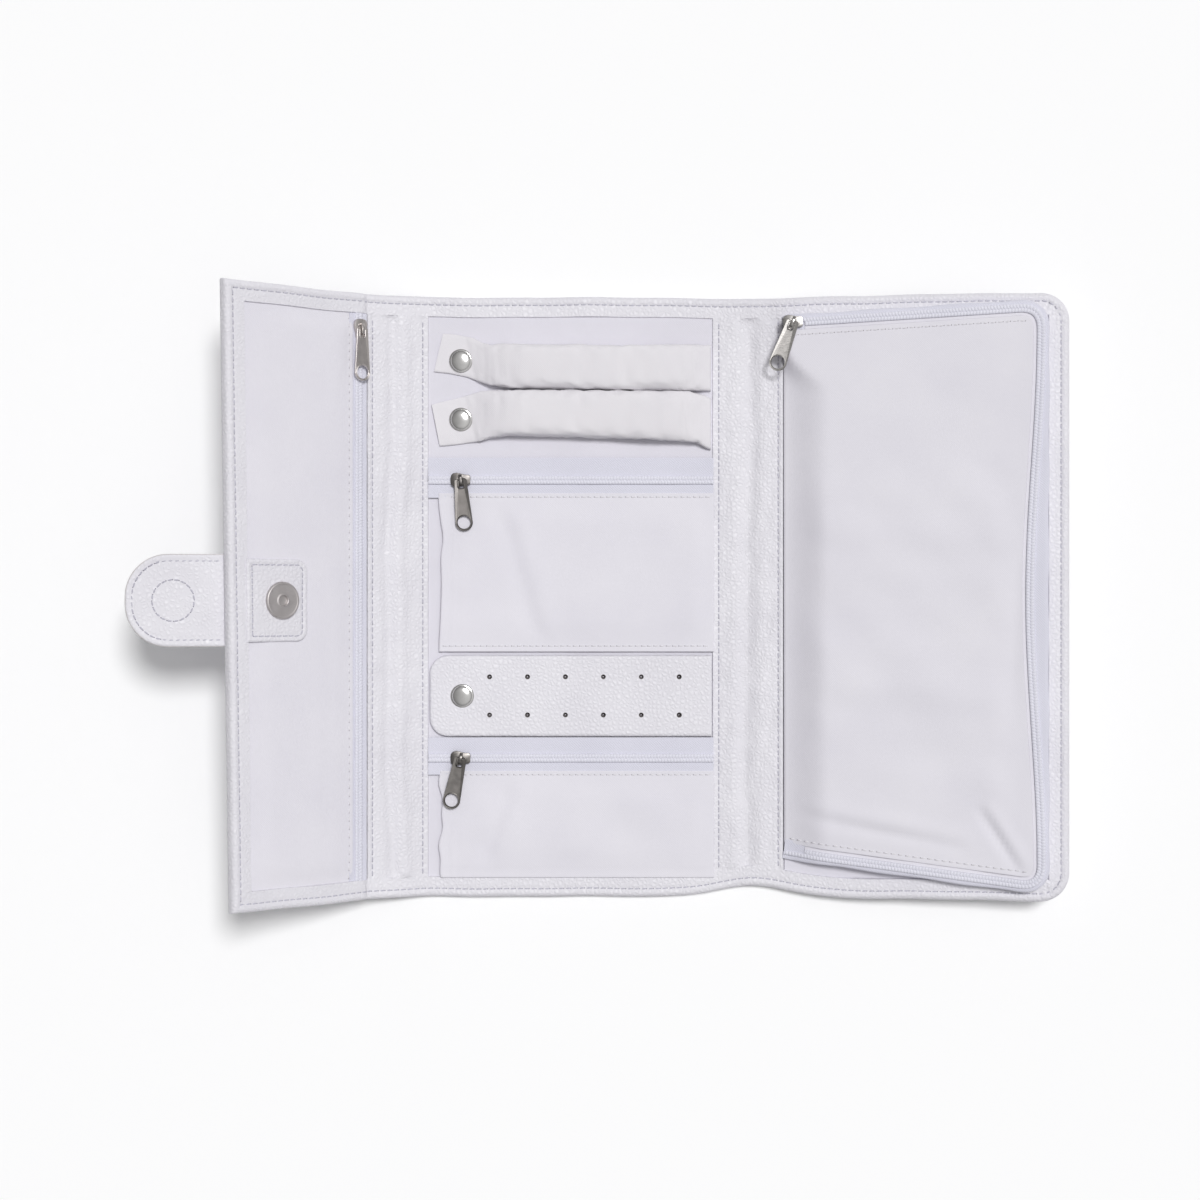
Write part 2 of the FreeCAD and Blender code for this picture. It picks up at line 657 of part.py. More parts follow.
ground = doc.addObject("App::Placement", "Ground").Name
stack = "strip_wall + lining_wall + padding_wall + shell_wall"
centre_frame = frame("CentreFrame", ground, z=stack)
left_frame = frame("LeftSpineFrame", centre_frame, x=LEFT_FOLD, axis=ALONG, turn="left_spine_tilt")
flap_frame = frame("FlapFrame", left_frame, x="-left_spine_width", axis=ALONG, turn="flap_tilt")
tab_frame = frame("TabFrame", flap_frame, x="-(flap_width + tab_gap)", z=f"{SHELL_LOW} - tab_layer",
                  axis=ALONG, turn="-tab_droop")
right_spine_frame = frame("RightSpineFrame", centre_frame, x=RIGHT_FOLD, axis=ALONG, turn="-right_spine_tilt")
right_frame = frame("RightFrame", right_spine_frame, x="right_spine_width", axis=ALONG, turn="-right_tilt")

centre_panel(centre_frame)
spine("left_spine", left_frame, ("-left_spine_width", "0"))
flap(flap_frame)
closing_tab(tab_frame)
spine("right_spine", right_spine_frame, ("0", "right_spine_width"))
right_panel(right_frame)
doc.recompute()

for obj in doc.Objects:
    if "Invalid" in obj.State or "Error" in obj.State:
        raise RuntimeError(obj.Label + " failed to build")
for obj in nodes:
    if obj.Shape.isNull() or not obj.Shape.isValid() or not obj.Shape.Solids:
        raise RuntimeError(obj.Label + " has no valid solid")

os.makedirs("parts", exist_ok=True)
for obj in nodes:
    obj.Shape.exportStep(f"parts/{obj.Label}.step")
print(len(nodes), "pieces written")
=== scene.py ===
import json
import math
import random

import bmesh
import bpy
import numpy as np
from mathutils import Matrix, Vector

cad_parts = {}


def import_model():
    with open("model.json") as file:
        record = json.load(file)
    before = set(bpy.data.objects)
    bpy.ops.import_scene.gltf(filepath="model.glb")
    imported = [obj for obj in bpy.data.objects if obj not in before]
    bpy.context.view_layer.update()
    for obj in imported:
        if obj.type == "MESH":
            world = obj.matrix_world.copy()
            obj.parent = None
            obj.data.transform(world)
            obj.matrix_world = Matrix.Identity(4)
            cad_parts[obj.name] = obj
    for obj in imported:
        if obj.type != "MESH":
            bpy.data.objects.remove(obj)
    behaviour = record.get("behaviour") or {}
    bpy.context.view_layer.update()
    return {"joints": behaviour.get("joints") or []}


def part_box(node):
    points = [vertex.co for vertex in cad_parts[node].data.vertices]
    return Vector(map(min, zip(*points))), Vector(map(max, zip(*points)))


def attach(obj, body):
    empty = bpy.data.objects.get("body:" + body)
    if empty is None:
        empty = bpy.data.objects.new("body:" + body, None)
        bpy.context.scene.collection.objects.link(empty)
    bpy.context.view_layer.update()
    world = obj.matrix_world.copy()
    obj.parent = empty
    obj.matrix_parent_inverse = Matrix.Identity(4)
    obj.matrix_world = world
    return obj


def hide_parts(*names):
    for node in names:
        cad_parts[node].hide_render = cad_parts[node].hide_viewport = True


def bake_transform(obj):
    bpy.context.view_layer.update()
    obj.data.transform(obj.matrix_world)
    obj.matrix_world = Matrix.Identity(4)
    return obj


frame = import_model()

scene = bpy.context.scene
scene.view_settings.view_transform = "Standard"
joints = {joint["name"]: joint for joint in frame["joints"]}
dice = random.Random(11)

# The open case laid out as one strip, in mm: s across it from the flap's edge to the right panel's,
# v along it, w off the inner face.
case = {
    "flapEdge": -150.0, "flapFold": -86.0, "leftFold": -59.5, "rightFold": 66.1, "panelFold": 83.1,
    "panelEdge": 207.1, "half": 126.0, "level": 4.0, "leftMiddle": -72.75, "rightMiddle": 74.6,
    "leftBend": 6.5, "rightBend": 5.0, "corner": 12.0, "floor": -4.0,
    "flapLean": 4.0, "leanFrom": -112, "leanOver": 38,
}
turnAt = case["panelEdge"] - case["corner"]  # where the right corners start to turn


def ease(t):
    t = np.clip(t, 0, 1)
    return t * t * (3 - 2 * t)


def bump(x, middle, width):
    return np.exp(-((x - middle) / width) ** 2)


def roundOff(d, radius):
    # how far a rounded edge has fallen at distance d from its rim
    gap = np.clip(radius - d, 0, radius)
    return radius - np.sqrt(np.maximum(radius ** 2 - gap ** 2, 0))


def drift(a, b, seed, size):
    # slow unevenness of a soft surface, about -1 to 1
    pick = np.random.RandomState(seed)
    total = np.zeros(np.shape(a))
    for _ in range(7):
        turn, pace = pick.uniform(0, 6.28), pick.uniform(0.6, 1.7) * 6.28 / size
        shift = pick.uniform(0, 6.28)
        total = total + np.sin((a * math.cos(turn) + b * math.sin(turn)) * pace + shift)
    return total / 3.5


def makeTrack(origin, base, folds, low, high, step=0.1):
    # a line in the xz plane that bends by so many degrees at each fold, through origin at s = 0
    s = np.arange(low, high, step)
    tilt = np.full(len(s), float(base))
    for middle, turn, half in folds:
        tilt += turn * ease((s - middle + half) / (2 * half))
    tilt = np.radians(tilt)
    between = (tilt[1:] + tilt[:-1]) / 2
    x = np.append(0, np.cumsum(np.cos(between) * step))
    z = np.append(0, np.cumsum(np.sin(between) * step))
    x += origin[0] - np.interp(0, s, x)
    z += origin[1] - np.interp(0, s, z)

    def lay(co):
        a = np.interp(co[:, 0], s, tilt)
        across = np.interp(co[:, 0], s, x) - co[:, 2] * np.sin(a)
        up = np.interp(co[:, 0], s, z) + co[:, 2] * np.cos(a)
        return np.stack([across, co[:, 1], up], 1) * 0.001
    return lay


layFlat = makeTrack((0, case["level"]), -40, [
    (case["flapFold"], 20, case["leftBend"]), (case["leftFold"], 20, case["leftBend"]),
    (case["rightFold"], 4, case["rightBend"]), (case["panelFold"], 3, case["rightBend"])], -175, 225)


def layCase(co):
    # the flap was cut a little wider towards its upper corner
    share = np.clip((co[:, 1] + case["half"]) / (2 * case["half"]), 0, 1)
    lean = case["flapLean"] * ease((case["leanFrom"] - co[:, 0]) / case["leanOver"]) * share
    return layFlat(np.stack([co[:, 0] - lean, co[:, 1], co[:, 2]], 1))


tabHinge = [c * 1000 for c in joints["tab_bend"]["pos_m"]]
layTab = makeTrack((tabHinge[0], tabHinge[2]), -10, [(0, -30, 4)], -60, 30)


def at(s, v, w, lay=layCase):
    return tuple(lay(np.array([[s, v, w]], float))[0])


def spread(low, high, step):
    return list(np.linspace(low, high, max(2, round(abs(high - low) / step) + 1)))


def lines(*runs):
    return sorted({round(float(x), 3) for run in runs for x in run})


def arc(x, y, radius, start, end, step):
    turns = np.radians(spread(start, end, step))
    return [(x + radius * math.cos(a), y + radius * math.sin(a)) for a in turns]


def rimLines(low, high, rim, margin, step):
    # close lines along both rims, even ones between
    return lines([low + d for d in rim], spread(low + margin, high - margin, step), [high - d for d in rim])


def lattice(across, along):
    # a flat grid whose vertices remember their row and column
    bm = bmesh.new()
    bmesh.ops.create_grid(bm, x_segments=len(across) - 1, y_segments=len(along) - 1, size=1)
    row, column = bm.verts.layers.int.new("row"), bm.verts.layers.int.new("column")
    for vert in bm.verts:
        vert[row] = round((vert.co.x + 1) / 2 * (len(across) - 1))
        vert[column] = round((vert.co.y + 1) / 2 * (len(along) - 1))
    return bm


def gridPlaces(bm, across, along):
    row, column = bm.verts.layers.int["row"], bm.verts.layers.int["column"]
    a = np.array([across[vert[row]] for vert in bm.verts], float)
    return a, np.array([along[vert[column]] for vert in bm.verts], float)


def moveTo(bm, s, v, w):
    for vert, co in zip(bm.verts, np.stack([s, v, w], 1)):
        vert.co = co


def vertsOf(geom):
    return [g for g in geom if isinstance(g, bmesh.types.BMVert)]


def facesOf(geom):
    return [g for g in geom if isinstance(g, bmesh.types.BMFace)]


def makeSheet(across, along, top, under, place=None):
    # a closed sheet: top and under give its two faces over (a, b), place moves (a, b) to (s, v)
    bm = lattice(across, along)
    raised = set(vertsOf(bmesh.ops.extrude_face_region(bm, geom=bm.faces[:], use_keep_orig=True)["geom"]))
    a, b = gridPlaces(bm, across, along)
    s, v = place(a, b) if place else (a, b)
    up = np.array([vert in raised for vert in bm.verts])
    moveTo(bm, s, v, np.where(up, top(a, b), under(a, b)))
    return bm


def joinMesh(bm, other):
    mesh = bpy.data.meshes.new("joined")
    other.to_mesh(mesh)
    other.free()
    bm.from_mesh(mesh)
    bpy.data.meshes.remove(mesh)


stitch = {
    "pitch": 2.9, "long": 1.95, "wide": 0.66, "high": 0.48, "slant": 0.10, "sunk": -0.1, "wobble": 0.05,
    "shortPitch": 2.6, "short": 1.9, "hole": (0.26, 0.26, 0.12, 1), "holeGap": 0.1, "holeUp": 0.06,
    "batch": 40,
}


def alongLine(points, pitch):
    # even spots on a line of points, each with its heading
    points = np.array(points, float)
    reach = np.append(0, np.cumsum(np.hypot(*np.diff(points, axis=0).T)))

    def spot(far):
        return np.interp(far, reach, points[:, 0]), np.interp(far, reach, points[:, 1])
    far = np.arange(pitch / 2, reach[-1], pitch)
    (x1, y1), (x0, y0) = spot(np.minimum(far + 0.3, reach[-1])), spot(np.maximum(far - 0.3, 0))
    return list(zip(*spot(far), np.arctan2(y1 - y0, x1 - x0)))


def sew(bm, spots, level, long=stitch["long"], side=1):
    # short rounded threads lying on the surface, a little slanted, with a dark flattened ball before each as
    # the needle hole's painted shade
    if not spots:
        return
    x, y, _ = np.array(spots).T
    heights = np.broadcast_to(level(x, y), len(spots))
    size = Matrix.Diagonal((long / 2, stitch["wide"] / 2, stitch["high"] / 2, 1))
    size = size @ Matrix.Rotation(math.pi / 2, 4, "Y")
    gap = long / 2 + stitch["holeGap"]
    ball = {"u_segments": 6, "v_segments": 4, "radius": 1}
    for first in range(0, len(spots), stitch["batch"]):
        threads, holes = bmesh.new(), bmesh.new()
        for (x, y, heading), w in list(zip(spots, heights))[first:first + stitch["batch"]]:
            wobble = dice.uniform(-stitch["wobble"], stitch["wobble"])
            turn = Matrix.Rotation(heading + stitch["slant"] + wobble, 4, "Z")
            spot = Matrix.Translation((x, y, w - side * stitch["sunk"]))
            bmesh.ops.create_uvsphere(threads, **ball, matrix=spot @ turn @ size)
            if side > 0:
                behind = (x - gap * math.cos(heading), y - gap * math.sin(heading), w + stitch["holeUp"])
                spot = Matrix.Translation(behind) @ Matrix.Diagonal(stitch["hole"])
                bmesh.ops.create_uvsphere(holes, **ball, matrix=spot)
        for part, number in ((threads, 1), (holes, 2)):
            for face in part.faces:
                face.material_index = number
            joinMesh(bm, part)


def addObject(name, bm, materials):
    mesh = bpy.data.meshes.new(name)
    bm.to_mesh(mesh)
    bm.free()
    for material in materials:
        mesh.materials.append(material)
    thing = bpy.data.objects.new(name, mesh)
    scene.collection.objects.link(thing)
    return thing


def makePiece(name, bm, materials, nodes, body=None, lay=layCase, sharp=48):
    # lays a mesh in place, and says which nodes it replaces and which body carries it, if one is given
    bmesh.ops.recalc_face_normals(bm, faces=bm.faces[:])
    for face in bm.faces:
        face.smooth = True
    for edge in bm.edges:
        if len(edge.link_faces) == 2 and edge.calc_face_angle(0) > math.radians(sharp):
            edge.smooth = False
    piece = addObject(name, bm, materials)
    mesh = piece.data
    flat = np.zeros(len(mesh.vertices) * 3, np.float32)
    mesh.vertices.foreach_get("co", flat)
    place = mesh.attributes.new("flatPlace", "FLOAT_VECTOR", "POINT")
    place.data.foreach_set("vector", (flat * 0.001).astype(np.float32))
    laid = lay(flat.reshape(-1, 3).astype(float)) if lay else flat.reshape(-1, 3) * 0.001
    mesh.vertices.foreach_set("co", laid.astype(np.float32).ravel())
    for spare in ("row", "column"):
        if spare in mesh.attributes:
            mesh.attributes.remove(mesh.attributes[spare])
    mesh.update()
    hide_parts(*nodes)
    if body:
        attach(piece, body)
    return piece


print("materials")


def addNode(tree, kind, inputs=None, **settings):
    node = tree.nodes.new(kind)
    for key, value in settings.items():
        setattr(node, key, value)
    for key, value in (inputs or {}).items():
        if isinstance(value, bpy.types.NodeSocket):
            tree.links.new(value, node.inputs[key])
        else:
            node.inputs[key].default_value = value
    return node


def connect(tree, into, sources):
    for key, source in sources.items():
        tree.links.new(source, into[key])


def makeGroup(name, knob, value, outputs):
    tree = bpy.data.node_groups.new(name, "ShaderNodeTree")
    tree.interface.new_socket("Place", in_out="INPUT", socket_type="NodeSocketVector")
    tree.interface.new_socket(knob, in_out="INPUT", socket_type="NodeSocketFloat").default_value = value
    for label in outputs:
        tree.interface.new_socket(label, in_out="OUTPUT", socket_type="NodeSocketFloat")
    return tree, tree.nodes.new("NodeGroupInput").outputs, tree.nodes.new("NodeGroupOutput").inputs


def maths(tree, operation, a, b=None, c=None):
    values = {i: x for i, x in enumerate((a, b, c)) if x is not None}
    return addNode(tree, "ShaderNodeMath", values, operation=operation).outputs[0]


def remap(tree, value, low, high, a=0.0, b=1.0, smooth=False):
    return addNode(tree, "ShaderNodeMapRange", {0: value, 1: low, 2: high, 3: a, 4: b},
                   interpolation_type="SMOOTHSTEP" if smooth else "LINEAR").outputs[0]


def noise(tree, place, scale, detail, output="Fac"):
    node = addNode(tree, "ShaderNodeTexNoise", {"Vector": place, "Scale": scale, "Detail": detail})
    return node.outputs[output]


def wander(tree, place, scale, reach):
    # the place moved about by noise
    bend = noise(tree, place, scale, 2.0, "Color")
    lean = addNode(tree, "ShaderNodeVectorMath", {0: bend, 1: (reach, reach, reach)}, operation="MULTIPLY")
    return addNode(tree, "ShaderNodeVectorMath", {0: place, 1: lean.outputs[0]}, operation="ADD").outputs[0]


def makePebble():
    # raised leather pebbles with creases between them, on a slow drift of tone; the Crease mask is later used
    # to paint shade into the creases
    tree, got, put = makeGroup("pebbleGrain", "Scale", 850.0, ("Height", "Crease", "Tone"))
    moved = wander(tree, got["Place"], 420.0, 0.0011)
    cells = addNode(tree, "ShaderNodeTexVoronoi", {"Vector": moved, "Scale": got["Scale"], "Randomness": 0.9},
                    feature="DISTANCE_TO_EDGE")
    crease = remap(tree, cells.outputs["Distance"], 0.0, 0.42, smooth=True)
    fine = noise(tree, got["Place"], 2600.0, 3.0)
    connect(tree, put, {"Height": maths(tree, "MULTIPLY_ADD", fine, 0.14, crease),
                        "Crease": maths(tree, "SUBTRACT", 1.0, crease),
                        "Tone": noise(tree, got["Place"], 38.0, 4.0)})
    return tree


def makeWeave():
    # plain weave: two sets of threads that take turns on top; Gap marks the gaps between them, where shade is
    # painted
    tree, got, put = makeGroup("threadWeave", "Pitch", 0.0007, ("Height", "Gap", "Tone"))
    parts = addNode(tree, "ShaderNodeSeparateXYZ", {0: wander(tree, got["Place"], 160.0, 0.0012)})
    turns = []
    for axis in ("X", "Y"):
        share = maths(tree, "DIVIDE", parts.outputs[axis], got["Pitch"])
        turns.append(maths(tree, "SINE", maths(tree, "MULTIPLY", share, 6.2832)))
    over = maths(tree, "MULTIPLY", turns[0], turns[1])
    nap = noise(tree, got["Place"], 1400.0, 3.0)
    connect(tree, put, {"Height": maths(tree, "MULTIPLY_ADD", nap, 0.6, remap(tree, over, -1.0, 1.0)),
                        "Gap": remap(tree, over, -0.2, -1.0), "Tone": noise(tree, got["Place"], 30.0, 4.0)})
    return tree


pebbleGrain, threadWeave = makePebble(), makeWeave()


def newMaterial(name, **values):
    material = bpy.data.materials.new(name)
    material.use_nodes = True
    tree = material.node_tree
    shader = tree.nodes["Principled BSDF"]
    for key, value in values.items():
        shader.inputs[key].default_value = value
    place = addNode(tree, "ShaderNodeAttribute", attribute_name="flatPlace").outputs["Vector"]
    return material, tree, shader.inputs, place


def mixColour(tree, factor, a, b):
    a, b = (colour if isinstance(colour, bpy.types.NodeSocket) else (*colour, 1) for colour in (a, b))
    return addNode(tree, "ShaderNodeMix", {0: factor, 6: a, 7: b}, data_type="RGBA").outputs[2]


def addBump(tree, into, height, strength, distance):
    node = addNode(tree, "ShaderNodeBump", {"Height": height, "Strength": strength, "Distance": distance})
    tree.links.new(node.outputs[0], into["Normal"])


# crease is a darker colour painted into the grain's creases as shade
leatherLook = {"colour": (0.785, 0.772, 0.815), "shade": (0.735, 0.72, 0.768), "crease": (0.62, 0.605, 0.655),
               "scale": 540.0, "bump": 0.46, "distance": 0.00036}


def makeLeather(name, look):
    material, tree, into, place = newMaterial(name, **{"Specular IOR Level": 0.4, "Coat Roughness": 0.32})
    knobs = {"Place": place, "Scale": look["scale"]}
    grain = addNode(tree, "ShaderNodeGroup", knobs, node_tree=pebbleGrain).outputs
    tone = mixColour(tree, remap(tree, grain["Tone"], 0.35, 0.7), look["colour"], look["shade"])
    # painted shade: the colour darkens towards the crease colour in the creases between pebbles
    creaseShade = mixColour(tree, maths(tree, "MULTIPLY", grain["Crease"], 0.24), tone, look["crease"])
    connect(tree, into, {"Base Color": creaseShade, "Roughness": remap(tree, grain["Crease"], 0, 1, 0.42, 0.62),
                         "Coat Weight": remap(tree, grain["Crease"], 0, 1, 0.10, 0.0)})
    addBump(tree, into, grain["Height"], look["bump"], look["distance"])
    return material


def makeCloth(name, colour, shade, pitch, rough=0.85, bumpSize=0.00012, sheen=0.25):
    finish = {"Specular IOR Level": 0.25, "Sheen Weight": sheen, "Sheen Roughness": 0.5}
    material, tree, into, place = newMaterial(name, **finish)
    weave = addNode(tree, "ShaderNodeGroup", {"Place": place, "Pitch": pitch}, node_tree=threadWeave).outputs
    tone = mixColour(tree, remap(tree, weave["Tone"], 0.3, 0.7), colour, shade)
    # painted shade: the colour darkens in the gaps between threads
    gapShade = mixColour(tree, maths(tree, "MULTIPLY", weave["Gap"], 0.10), tone, [c * 0.72 for c in shade])
    uneven = remap(tree, weave["Gap"], 0, 1, rough - 0.08, rough)
    connect(tree, into, {"Base Color": gapShade, "Roughness": uneven})
    addBump(tree, into, weave["Height"], 0.5, bumpSize)
    return material


def makeMetal(name, colour, dull, rough, polish, scratched=0.08):
    material, tree, into, place = newMaterial(name, Metallic=1.0)
    cloud = remap(tree, noise(tree, place, 260.0, 5.0), 0.35, 0.7)
    stretch = addNode(tree, "ShaderNodeMapping", {"Vector": place, "Scale": (900.0, 5200.0, 900.0)})
    scratch = noise(tree, stretch.outputs[0], 1.0, 2.0)
    connect(tree, into, {"Base Color": mixColour(tree, cloud, colour, dull),
                         "Roughness": remap(tree, scratch, 0.3, 0.7, rough, rough + polish)})
    if scratched:
        addBump(tree, into, scratch, scratched, 0.00004)
    return material


pebbledLeather = makeLeather("pebbledLeather", leatherLook)
cutLook = {"colour": (0.74, 0.71, 0.71), "shade": (0.66, 0.63, 0.63), "scale": 1300.0, "bump": 0.3}
cutEdge = makeLeather("cutEdge", {**leatherLook, **cutLook})
liningCloth = makeCloth("liningCloth", (0.735, 0.718, 0.78), (0.70, 0.683, 0.745), 0.00072)
pocketCloth = makeCloth("pocketCloth", (0.772, 0.755, 0.808), (0.735, 0.718, 0.778), 0.00072)
rollCloth = makeCloth("rollCloth", (0.778, 0.758, 0.788), (0.745, 0.725, 0.76), 0.0008, sheen=0.3)
tapeCloth = makeCloth("tapeCloth", (0.695, 0.69, 0.778), (0.66, 0.655, 0.742), 0.00105, 0.8, 0.0002)
coilNylon = makeCloth("coilNylon", (0.735, 0.73, 0.81), (0.70, 0.695, 0.775), 0.0009, rough=0.5, sheen=0.0)
thread = makeCloth("thread", (0.55, 0.54, 0.615), (0.49, 0.48, 0.55), 0.0004, rough=0.7)
paleThread = makeCloth("paleThread", (0.78, 0.765, 0.80), (0.73, 0.715, 0.75), 0.0004, rough=0.7)
# needle holes are dark balls on the surface: painted shade of the holes
needleHole = makeCloth("needleHole", (0.33, 0.32, 0.375), (0.27, 0.26, 0.315), 0.0004, rough=0.9, sheen=0.0)
paleHole = makeCloth("paleHole", (0.43, 0.41, 0.44), (0.37, 0.35, 0.38), 0.0004, rough=0.9, sheen=0.0)
# the earring holes' walls, near black: painted shade inside the holes
punchedEdge = makeCloth("punchedEdge", (0.21, 0.19, 0.19), (0.17, 0.155, 0.155), 0.0004, rough=0.9, sheen=0.0)
# the zip sliders and pulls are one nickel in four colours, lit and shaded copies: painted light and painted
# shade; the snap studs share the darkest
nickel = makeMetal("nickel", (0.165, 0.154, 0.148), (0.13, 0.121, 0.116), 0.34, 0.12)
paleNickel = makeMetal("paleNickel", (0.64, 0.60, 0.58), (0.55, 0.515, 0.50), 0.34, 0.12)
brightNickel = makeMetal("brightNickel", (0.46, 0.44, 0.425), (0.38, 0.365, 0.355), 0.24, 0.12)
darkNickel = makeMetal("darkNickel", (0.19, 0.178, 0.17), (0.12, 0.113, 0.108), 0.30, 0.14)
dullNickel = makeMetal("dullNickel", (0.60, 0.57, 0.565), (0.53, 0.50, 0.495), 0.5, 0.12)
capChrome = makeMetal("capChrome", (0.74, 0.73, 0.72), (0.64, 0.63, 0.62), 0.11, 0.03, scratched=0)

print("leather skin")
skin = {
    "hem": 8.5, "round": 1.9, "seam": 3.5, "rise": 0.30, "groove": 0.18, "under": -1.75, "flapHem": 1.3,
    "edgeLines": [0, 0.2, 0.6, 1.2, 1.9, 2.7, 3.1, 3.5, 3.9, 4.6, 5.6, 6.8, 7.8, 8.35, 8.6, 8.9], "rows": 106,
    "strips": ((-86.0, -59.5), (59.5, 89.3)), "seams": ((-83.6, -62.0), (62.3, 87.2)), "seamEnd": 9.6,
    "drawnAt": 77, "drawnWide": 21, "drawnLow": 4.4, "drawnHigh": 0.9, "gatherFrom": (192, 110),
}
stripSeams = [seam for pair in skin["seams"] for seam in pair]


def edges(s):
    # lower and upper edge of the case at s, drawn in at the right spine, before the corners are rounded
    drawn = bump(s, skin["drawnAt"], skin["drawnWide"])
    wave = 0.3 * np.sin(s * 0.083 + 1.0) + 0.2 * np.sin(s * 0.19)
    low = -case["half"] + skin["drawnLow"] * drawn + 0.5 * wave
    return low, case["half"] - skin["drawnHigh"] * drawn + 0.5 * wave


def inward(s, v):
    # distance from the case's outline
    low, high = edges(s)
    corner = case["corner"]
    fromEnd = np.minimum(high - v, v - low)
    d = np.minimum(fromEnd, np.minimum(s - case["flapEdge"], case["panelEdge"] - s))
    past = s - turnAt
    turned = corner - np.hypot(np.maximum(past, 0), np.maximum(corner - fromEnd, 0))
    return np.where((past > 0) & (fromEnd < corner), np.minimum(d, turned), d)


def stripLevel(s, v, strip, seams):
    # a spine's leather strip: folded edges, a seam along each, and the soft crease between
    low, high = strip
    middle = (low + high) / 2
    shift = 1.3 * np.sin(v * 0.021 + low) + 0.6 * np.sin(v * 0.07)
    if low < 0:
        crease = -0.95 * bump(s + shift, middle - 3.2, 2.2) + 0.75 * bump(s + shift, middle + 2.4, 2.6)
    else:
        crease = -0.8 * bump(s + shift * 0.9, middle + 0.2, 3.0)
        crease = crease + 0.35 * bump(s, middle - 6, 3.2) + 0.3 * bump(s, middle + 6, 3.2)
    sewn = sum(-0.2 * bump(s, seam, 0.5) for seam in seams)
    rim = 0.2 * bump(s, low + 1.0, 0.8) + 0.2 * bump(s, high - 1.0, 0.8)
    return -0.12 + crease + sewn + rim + 0.15 * drift(s, v * 0.45, 5, 6.0)


def skinTop(s, v):
    d = inward(s, v)
    low, high = edges(s)
    level = skin["flapHem"] * ease((case["flapFold"] + 0.4 - s) / 3)
    puff = skin["rise"] * np.sin(np.pi * np.clip(d / skin["seam"], 0, 1))
    sunk = skin["groove"] * bump(d, skin["seam"], 0.45)
    fold = 0.10 * drift(s, v, 3, 14.0) * ease(d / 2)
    # the leather is gathered round the right corners and mitred at the flap's
    angle = np.arctan2(np.abs(v) - case["half"] + case["corner"], s - turnAt)
    near = ease((s - skin["gatherFrom"][0]) / 6) * ease((np.abs(v) - skin["gatherFrom"][1]) / 6)
    gather = 0.26 * np.sin(angle * 15) * near * ease((d - 1) / 2)
    mitre = 0.3 * bump(s - case["flapEdge"] - np.minimum(high - v, v - low), 0, 0.5)
    mitre = mitre * ease((skin["hem"] - d) / 1.5) * ease(d / 1.2)
    hem = level + puff - sunk - roundOff(d, skin["round"]) + fold + gather - mitre
    base = np.full(np.shape(s), skin["under"])
    for strip, seams in zip(skin["strips"], skin["seams"]):
        inside = ease((s - strip[0] + 0.15) / 0.4) * ease((strip[1] + 0.15 - s) / 0.4)
        base = base + (stripLevel(s, v, strip, seams) - skin["under"]) * inside
    inner = ease((d - skin["hem"] + 0.15) / 0.45)
    return hem * (1 - inner) + base * inner


def skinUnder(s, v):
    d = inward(s, v)
    sewn = 0.28 * bump(d, skin["seam"], 0.5)
    for seam in stripSeams:
        sewn = np.maximum(sewn, 0.24 * bump(s, seam, 0.55))
    crease = 0.35 * bump(s, case["leftMiddle"], 3) + 0.35 * bump(s, case["rightMiddle"], 2.5)
    return case["floor"] + roundOff(d, skin["round"]) + sewn + crease + 0.05 * (1 + drift(s, v, 9, 40.0))


# each row of the skin's grid is a share of the way up the case and a shift from there
edgeLines = skin["edgeLines"]
rows = [(0.0, d) for d in edgeLines]
rows += [(f, edgeLines[-1] * (1 - 2 * f)) for f in spread(0, 1, 1 / skin["rows"])[1:-1]]
rows += [(1.0, -d) for d in reversed(edgeLines)]
rowShare, rowShift = np.array(rows).T


def skinPlace(s, row):
    low, high = edges(s)
    cut = roundOff(case["panelEdge"] - s, case["corner"])
    row = row.astype(int)
    return s, (low + cut) * (1 - rowShare[row]) + (high - cut) * rowShare[row] + rowShift[row]


def seamLoop():
    # the hem's seam all round the case
    inset, corner = skin["seam"], case["corner"]
    left, radius = case["flapEdge"] + inset, corner - inset
    s = np.array(spread(left, turnAt, 1.0))
    low, high = edges(s)
    upper, lower = list(zip(s, high - inset)), list(zip(s, low + inset))[::-1]
    top = arc(turnAt, high[-1] - corner, radius, 90, 0, 5)
    bottom = arc(turnAt, low[-1] + corner, radius, 0, -90, 5)
    return upper + top + bottom + lower + [(left, low[0] + inset), (left, high[0] - inset)]


